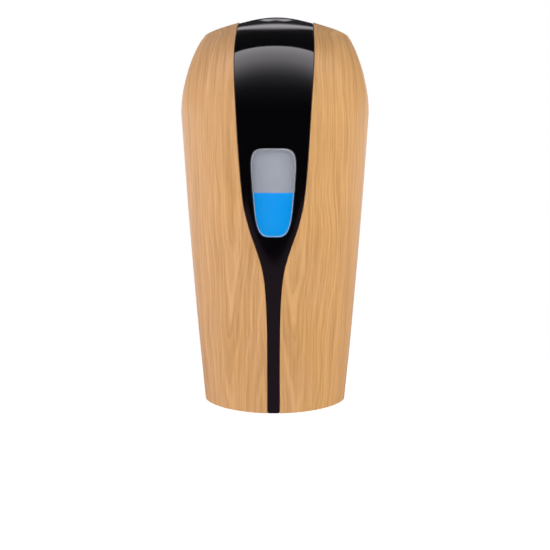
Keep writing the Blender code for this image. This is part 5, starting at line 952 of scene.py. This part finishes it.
def cell_sleeve():
    """Shrunk plastic sleeve on a cell: dark blue with a copper-coloured end, glossy and bare of print."""
    base = linear("#1C2F4E")
    material, shader, place, add = start_material("cell_sleeve", base, 0.28)
    along = add("SeparateXYZ", {0: place}, output="X")
    blur = 0.2 * MILLIMETRE
    band = add("MapRange", {0: along, 1: SLEEVE_END_PLACE - blur, 2: SLEEVE_END_PLACE + blur})
    body = add("Mix", {0: band, 6: base, 7: linear("#B87A3D")}, **COLOUR_MIX)
    scale = tuple(map(scale_for, (8.33, 1.43, 1.43)))
    where = add("VectorMath", {0: place, 1: scale}, operation="MULTIPLY")
    wrinkle = add("TexNoise", {"Vector": where, "Scale": 1.0, "Detail": 1.0})
    finish_surface(shader, add, body, None, wrinkle, depth_mm=0.1, strength=0.15)
    return material


def smooth_facets_group():
    """Make the geometry nodes that join a solid's facets and shade them smooth up to its edges."""
    group = bpy.data.node_groups.new("smooth_facets", "GeometryNodeTree")
    group.interface.new_socket("Geometry", in_out="INPUT", socket_type="NodeSocketGeometry")
    group.interface.new_socket("Geometry", in_out="OUTPUT", socket_type="NodeSocketGeometry")
    add = functools.partial(add_node, group, "")
    joined = {"Geometry": add("NodeGroupInput"), "Distance": WELD_DISTANCE}
    joined = add("GeometryNodeMergeByDistance", joined)
    angle = add("GeometryNodeInputMeshEdgeAngle")
    edges = add("FunctionNodeCompare", {0: angle, 1: EDGE_ANGLE}, operation="GREATER_THAN")
    settings = {"Mesh": joined, "Remove Custom": True, "Edge Sharpness": edges}
    add("NodeGroupOutput", {0: add("GeometryNodeSetMeshNormal", settings, mode="SHARPNESS")})
    return group


# Stage


def make_floor(stage):
    """Make the pale floor, which the camera sees white but for the object's shadow."""
    reach = stage.floor_reach
    corners = [(-reach, -reach), (reach, -reach), (reach, reach), (-reach, reach)]
    mesh = new_mesh("floor", [(x, y, -stage.floor_drop) for x, y in corners], [(0, 1, 2, 3)])
    mesh_piece(mesh)
    material = bpy.data.materials.new("pale_floor")
    add = emptied(material)
    seen, mirrored = ray_kinds(add)
    paint = add("BsdfDiffuse", {"Color": FLOOR_PAINT})
    glow = add("Emission", {"Strength": FLOOR_GLOW})
    lit = add("AddShader", {0: paint, 1: glow})
    shown = add("MixShader", {0: seen, 1: paint, 2: lit})
    dim = add("Emission", {"Color": FLOOR_IN_GLOSS, "Strength": 1.0})
    surface = add("MixShader", {0: mirrored, 1: shown, 2: dim})
    add("OutputMaterial", {"Surface": surface})
    mesh.materials.append(material)


def make_room(scene, stage):
    """Make the room: white to the camera, even light on the object, and soft boxes in its reflections."""
    world = bpy.data.worlds.new("room")
    scene.world = world
    add = emptied(world)
    seen, mirrored = ray_kinds(add)
    direction = add("TexCoord", output="Generated")
    parts = add("SeparateXYZ", {"Vector": direction}).node.outputs
    ahead = add("Math", {0: parts["Y"], 1: -1.0}, operation="MULTIPLY")
    angle = add("Math", {0: parts["Z"], 1: ahead}, operation="ARCTAN2")
    # share of a full turn, from straight down, over the front, up and back down behind; the boxes bow
    # a little towards their sides
    beside = add("Math", {0: parts["X"], 1: 2.0}, operation="POWER")
    bowed = add("Math", {0: beside, 1: BOX_BOW_SHARE, 2: 0.25}, operation="MULTIPLY_ADD")
    turned = add("Math", {0: angle, 1: 1 / math.tau, 2: bowed}, operation="MULTIPLY_ADD")
    ramp = add("ValToRGB", {"Fac": add("Math", {0: turned}, operation="FRACT")})
    elements = ramp.node.color_ramp.elements
    for place, value in ROOM_STOPS[1:-1]:
        elements.new(place)
    for element, (place, value) in zip(elements, ROOM_STOPS):
        element.position = place
        element.color = (*toned(SOFT_BOX_TINT_SHARES, value), 1)
    boxes = add("Background", {"Color": ramp, "Strength": SOFT_BOX_LEVEL})
    even = add("Background", {"Color": (1, 1, 1), "Strength": stage.room})
    white = add("Background", {"Color": (1, 1, 1), "Strength": 1.0})
    lit = add("MixShader", {0: mirrored, 1: even, 2: boxes})
    shown = add("MixShader", {0: seen, 1: lit, 2: white})
    add("OutputWorld", {"Surface": shown})


def make_lamp(name, place, size, power):
    """Add a square soft lamp that faces the hood."""
    data = bpy.data.lights.new(name, "AREA")
    data.shape = "SQUARE"
    data.size = size
    data.energy = power
    lamp = new_object(data)
    lamp.location = place
    lamp.rotation_euler = (LAMP_TARGET - Vector(place)).to_track_quat("-Z", "Y").to_euler()
    lamp.visible_glossy = False


def make_camera(scene, stage):
    """Add the camera at the photograph's place."""
    data = bpy.data.cameras.new("camera")
    data.lens = stage.lens
    camera = new_object(data)
    camera.location = (stage.camera_side, -COVER_DEPTH - stage.camera_reach, stage.camera_height)
    camera.rotation_euler = (math.pi / 2 - stage.pitch, 0, stage.yaw)
    scene.camera = camera


# Sizes and colours


def amount(name, description, default, **options):
    """Describe a number property."""
    return bpy.props.FloatProperty(name=name, description=description, default=default, **options)


def metres(name, description, default):
    """Describe a length property."""
    return amount(name, description, default, min=0.0, unit="LENGTH", precision=5)


def shade(name, description, code):
    """Describe a colour property from an sRGB hex value."""
    return bpy.props.FloatVectorProperty(
        name=name, description=description, default=linear(code), subtype="COLOR", min=0.0, max=1.0
    )


class DispenserSizes(bpy.types.PropertyGroup):
    """Sizes of the finish."""

    seam_radius: metres("Seam edge radius", "Rounding of the skins' edges along the seam", 0.0008)
    panel_radius: metres("Panel edge radius", "Rounding of the centre panel's edges", 0.0004)
    button_radius: metres("Button edge radius", "Rounding of the latch button's edge", 0.0005)
    inner_radius: metres("Inner edge radius", "Rounding of the mouldings inside", 0.0003)
    # width of the chamfer that carries the painted highlight round the lens
    lens_chamfer: metres("Lens edge", "Width of the ground edge round the lens", 0.0005)
    ring_spacing: metres("Grain spacing", "Width of one band of the wood grain", 0.0029)
    heart_distance: metres("Grain arches", "Distance of the grain's arches from the middle", 0.023)


class DispenserColours(bpy.types.PropertyGroup):
    """Colours of the finish."""

    wood_light: shade("Light grain", "Lighter colour of the wood film", "#DCAA77")
    wood_dark: shade("Dark grain", "Darker colour of the wood film", "#B48350")
    wood_warm: shade("Warm tint", "Tint that yellows the wood film in patches", "#FFFDE9")
    wood_pore: shade("Pores", "Colour of the fine pores along the grain", "#9E6D3A")
    panel_black: shade("Panel", "Colour of the gloss panel", "#030204")
    lens_tint: shade("Lens", "Tint of the clear lens", "#1B1D21")
    # painted highlight: pale colour of the band round the lens's edge
    lens_highlight_paint: shade("Lens edge", "Colour of the ground edge round the lens", "#BCBBBF")
    tank: shade("Tank", "Colour of the natural tank plastic", "#DADEE9")
    soap: shade("Soap", "Colour of the liquid soap", "#0486DC")
    # painted glow: the colour in which the soap lights itself
    soap_painted_glow: shade("Soap glow", "Colour of the light that the soap gives back", "#04A6FF")
    white: shade("White plastic", "Colour of the white mouldings", "#D9DADB")
    grey: shade("Grey plastic", "Colour of the machine case", "#96989C")
    black: shade("Black plastic", "Colour of the inner black mouldings", "#26262A")


class DispenserStage(bpy.types.PropertyGroup):
    """Camera, lamps and floor."""

    camera_reach: metres("Camera distance", "Distance from the hood's front to the camera", 1.2)
    camera_height: metres("Camera height", "Height of the camera in the model's frame", 0.070)
    camera_side: metres("Camera offset", "How far the camera stands to the right", 0.024)
    lens: amount("Lens", "Focal length", 118.2, unit="CAMERA")
    pitch: amount("Pitch", "How far the camera looks down", math.radians(6.383), subtype="ANGLE")
    yaw: amount("Yaw", "How far the camera turns to the left", math.radians(1.09), subtype="ANGLE")
    key_power: amount("Key", "Power of the key lamp", 9.0, unit="POWER")
    side_power: amount("Side lamps", "Power of each side lamp", 9.5, unit="POWER")
    room: amount("Room", "Level of the room's even light", 0.33)
    floor_drop: metres("Floor", "How far below the wall plate's middle the floor lies", 0.62)
    floor_reach: metres("Floor reach", "Half the side of the square floor", 3.0)


# Operators


class DISPENSER_OT_wood_shells(bpy.types.Operator):
    """Make the two wood-look side shells of the hood"""

    bl_idname = "dispenser.wood_shells"
    bl_label = "Wood shells"

    def execute(self, context):
        sizes = context.scene.dispenser_sizes
        film = wood_grain_film(context.scene.dispenser_colours, sizes)
        for name, side in (("left_shell", -1), ("right_shell", 1)):
            shell = solid_from_sheet(name + "_skin", shell_sheet(side), 0, SHELL_WALL)
            round_edges(shell, sizes.seam_radius)
            dress(shell, "cover", "wood_look", film, bpy.data.materials["black_moulding"])
            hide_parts(name)
        return {"FINISHED"}


class DISPENSER_OT_centre_panel(bpy.types.Operator):
    """Make the spoon-shaped gloss panel with its openings"""

    bl_idname = "dispenser.centre_panel"
    bl_label = "Centre panel"

    def execute(self, context):
        sizes = context.scene.dispenser_sizes
        panel = solid_from_sheet("centre_panel_skin", panel_sheet(), 0, SHELL_WALL)
        round_edges(panel, sizes.panel_radius)
        gloss, plain = (bpy.data.materials[name] for name in ("gloss_black_abs", "black_moulding"))
        dress(panel, "cover", "gloss_black", gloss, plain)
        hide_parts("centre_panel")
        seat = SHELL_WALL + AIR_GAP
        tongue = solid_from_sheet("centre_panel_tongue", tongue_sheet(), seat, seat + TONGUE_WALL)
        dress(tongue, "cover", "black_plastic", plain, plain)
        return {"FINISHED"}


class DISPENSER_OT_window(bpy.types.Operator):
    """Make the clear lens with a painted highlight band on its chamfered edge and its flange behind the
    panel
    """

    bl_idname = "dispenser.window"
    bl_label = "Window lens"

    def execute(self, context):
        sizes = context.scene.dispenser_sizes
        colours = context.scene.dispenser_colours
        face = outline_of(WINDOW, -LENS_GAP)
        chamfered = outline_of(WINDOW, -LENS_GAP - sizes.lens_chamfer)
        flange = outline_of(WINDOW, LENS_LIP - AIR_GAP)
        seat = SHELL_WALL + AIR_GAP
        shares = spread(LENS_CORE_SHARE, 1.0, PLUG_LOOPS)
        profile = [(chamfered, share, LENS_SINK) for share in shares]
        profile += [(face, 1, LENS_SINK + sizes.lens_chamfer / 3), (face, 1, seat), (flange, 1, seat)]
        profile += [(flange, share, seat + LENS_FLANGE_WALL) for share in reversed(shares)]
        mesh = plug_mesh("window_lens_clear", profile, window_place, LENS_SPOKES, edge_loop=PLUG_LOOPS)
        lens = mesh_piece(mesh)
        lens.data.set_sharp_from_angle(angle=LENS_EDGE_ANGLE)
        # the pale band on the lens's chamfer is a painted highlight along its edge
        highlighted = moulded("ground_lens_edge", colours.lens_highlight_paint, 0.5, 0.4, 0.01, LENS_IOR)
        dress(lens, "cover", "smoked_clear", clear_lens(colours), highlighted)
        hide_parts("window_lens")
        return {"FINISHED"}


class DISPENSER_OT_latch_button(bpy.types.Operator):
    """Make the latch button in the roof with its stem and hook"""

    bl_idname = "dispenser.latch_button"
    bl_label = "Latch button"

    def execute(self, context):
        sizes = context.scene.dispenser_sizes
        gloss, plain = (bpy.data.materials[name] for name in ("gloss_black_abs", "black_moulding"))
        edge = outline_of(BUTTON, -BUTTON_GAP)
        shares = spread(BUTTON_CORE_SHARE, 1.0, PLUG_LOOPS)
        top = [(edge, share, BUTTON_SINK + BUTTON_DISH * (1 - share)) for share in shares]
        profile = top + [(edge, share, inset + BUTTON_WALL) for edge, share, inset in reversed(top)]
        button = mesh_piece(plug_mesh("latch_button_cap", profile, button_place, BUTTON_SPOKES))
        round_edges(button, sizes.button_radius)
        dress(button, "latch", "gloss_black", gloss)
        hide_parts("latch_button")
        stem_front, stem_rear = (side * STEM_WALL / 2 - STEM_REACH for side in (-1, 1))
        stem_level = DOME_LEVEL + (BROW_DEPTH - STEM_REACH) / (BROW_DEPTH - COVER_REAR_GAP)
        stem_top = row_point(stem_level, 0).z - BUTTON_SINK - BUTTON_DISH - BUTTON_WALL / 2
        hook_rear = -STEM_REACH + HOOK_LENGTH
        hook_top = HOOK_HEIGHT + HOOK_WALL
        outline = [
            (stem_front, HOOK_HEIGHT),
            (hook_rear, HOOK_HEIGHT),
            (hook_rear, hook_top),
            (stem_rear, hook_top),
            (stem_rear, stem_top),
            (stem_front, stem_top),
        ]
        stem = mesh_piece(bar_mesh("latch_button_hook", outline, STEM_HALF_WIDTH))
        round_edges(stem, sizes.inner_radius)
        dress(stem, "latch", "gloss_black", plain)
        return {"FINISHED"}


class DISPENSER_OT_latch_springs(bpy.types.Operator):
    """Make the two springs under the latch button as coils of fixed length, which don't shorten as it goes
    down
    """

    bl_idname = "dispenser.latch_springs"
    bl_label = "Latch springs"

    def execute(self, context):
        for name in ("latch_spring_left", "latch_spring_right"):
            low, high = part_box(name)
            middle = (low + high) / 2
            radius = (high.x - low.x) / 2 - SPRING_WIRE_RADIUS
            foot, head = low.z + SPRING_WIRE_RADIUS, high.z - SPRING_WIRE_RADIUS
            points = []
            for step, height in enumerate(spread(foot, head, SPRING_CURLS * SPRING_CURL_POINTS)):
                turn = math.tau * step / SPRING_CURL_POINTS
                across, along = radius * math.cos(turn), radius * math.sin(turn)
                points.append((middle.x + across, middle.y + along, height))
            spring = mesh_piece(wire_mesh(name + "_wire", points, SPRING_WIRE_RADIUS))
            dress(spring, "cover", "steel", bpy.data.materials["plated_steel"])
            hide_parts(name)
            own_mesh(spring)
        return {"FINISHED"}


class DISPENSER_OT_inner_pieces(bpy.types.Operator):
    """Give every piece that keeps its solid its finish, its joined facets and its rounded edges"""

    bl_idname = "dispenser.inner_pieces"
    bl_label = "Inner pieces"

    def execute(self, context):
        sizes = context.scene.dispenser_sizes
        colours = context.scene.dispenser_colours
        finishes = {
            "white_plastic": moulded("white_moulding", colours.white, 0.38, 0.5, 0.012),
            "grey_plastic": moulded("grey_moulding", colours.grey, 0.48, 0.6, 0.02),
            "black_plastic": moulded("black_moulding", colours.black, 0.45, 0.6, 0.02, cloud=0.15),
            "natural_plastic": tank_plastic(colours),
            "soap_blue": liquid_soap(colours),
            "rubber": moulded("black_rubber", linear("#2A2A2B"), 0.75, 0.7, 0.03, ior=1.52, cloud=0.2),
            "silicone": moulded("silicone_tube", linear("#D5D8D8"), 0.5, 0.9, 0.02, ior=1.41),
            "steel": turned_metal("plated_steel", linear("#BFC1C4"), 0.3),
            "contact_brass": turned_metal("spring_brass", linear("#D8B56A"), 0.28),
            "board_green": board_laminate(),
            "lamp_clear": moulded("clear_resin", linear("#D9DCE4"), 0.1, 0.8, 0.005, ior=1.56),
            "lamp_blue": moulded("blue_resin", linear("#3E7BE6"), 0.12, 0.8, 0.005, ior=1.56),
            "cell_wrap": cell_sleeve(),
            "gloss_black": gloss_black_abs(colours),
        }
        smoothing = smooth_facets_group()
        slots = {row["node"]: row["material_slot"] for row in frame["record"]["subparts"]}
        for name, node in frame["nodes"].items():
            if slots[name] not in finishes:
                continue
            node.data.materials.clear()
            node.data.materials.append(finishes[slots[name]])
            node.modifiers.new("Smooth facets", "NODES").node_group = smoothing
            if slots[name] != "soap_blue" and "spring" not in name:
                round_edges(node, sizes.inner_radius, INNER_BEVEL_SEGMENTS)
            node.modifiers.new("Flat faces stay flat", "WEIGHTED_NORMAL").keep_sharp = True
        return {"FINISHED"}


class DISPENSER_OT_stage(bpy.types.Operator):
    """Set up the floor, the room, the lamps and the camera"""

    bl_idname = "dispenser.stage"
    bl_label = "Stage"

    def execute(self, context):
        stage = context.scene.dispenser_stage
        context.scene.view_settings.view_transform = "Standard"
        make_floor(stage)
        make_room(context.scene, stage)
        for name, place, size, power in LAMPS:
            make_lamp(name, place, size, getattr(stage, power))
        make_camera(context.scene, stage)
        return {"FINISHED"}


class DISPENSER_PT_looks(bpy.types.Panel):
    """Lists the steps that dress the dispenser"""

    bl_idname = "DISPENSER_PT_looks"
    bl_label = "Dispenser looks"
    bl_space_type = "VIEW_3D"
    bl_region_type = "UI"
    bl_category = "Dispenser"

    def draw(self, context):
        for step in STEPS:
            self.layout.operator(step.bl_idname)


GROUPS = (DispenserSizes, DispenserColours, DispenserStage)
STEPS = (
    DISPENSER_OT_inner_pieces,
    DISPENSER_OT_wood_shells,
    DISPENSER_OT_centre_panel,
    DISPENSER_OT_window,
    DISPENSER_OT_latch_button,
    DISPENSER_OT_latch_springs,
    DISPENSER_OT_stage,
)


def register():
    """Register the groups, the steps and the panel."""
    for kind in (*GROUPS, *STEPS, DISPENSER_PT_looks):
        bpy.utils.register_class(kind)
    bpy.types.Scene.dispenser_sizes = bpy.props.PointerProperty(type=DispenserSizes)
    bpy.types.Scene.dispenser_colours = bpy.props.PointerProperty(type=DispenserColours)
    bpy.types.Scene.dispenser_stage = bpy.props.PointerProperty(type=DispenserStage)


def unregister():
    """Take everything away again."""
    del bpy.types.Scene.dispenser_stage
    del bpy.types.Scene.dispenser_colours
    del bpy.types.Scene.dispenser_sizes
    for kind in reversed((*GROUPS, *STEPS, DISPENSER_PT_looks)):
        bpy.utils.unregister_class(kind)


def main():
    """Build the looks."""
    register()
    bpy.ops.dispenser.inner_pieces()
    bpy.ops.dispenser.wood_shells()
    bpy.ops.dispenser.centre_panel()
    bpy.ops.dispenser.window()
    bpy.ops.dispenser.latch_button()
    bpy.ops.dispenser.latch_springs()
    bpy.ops.dispenser.stage()


if __name__ == "__main__":
    main()
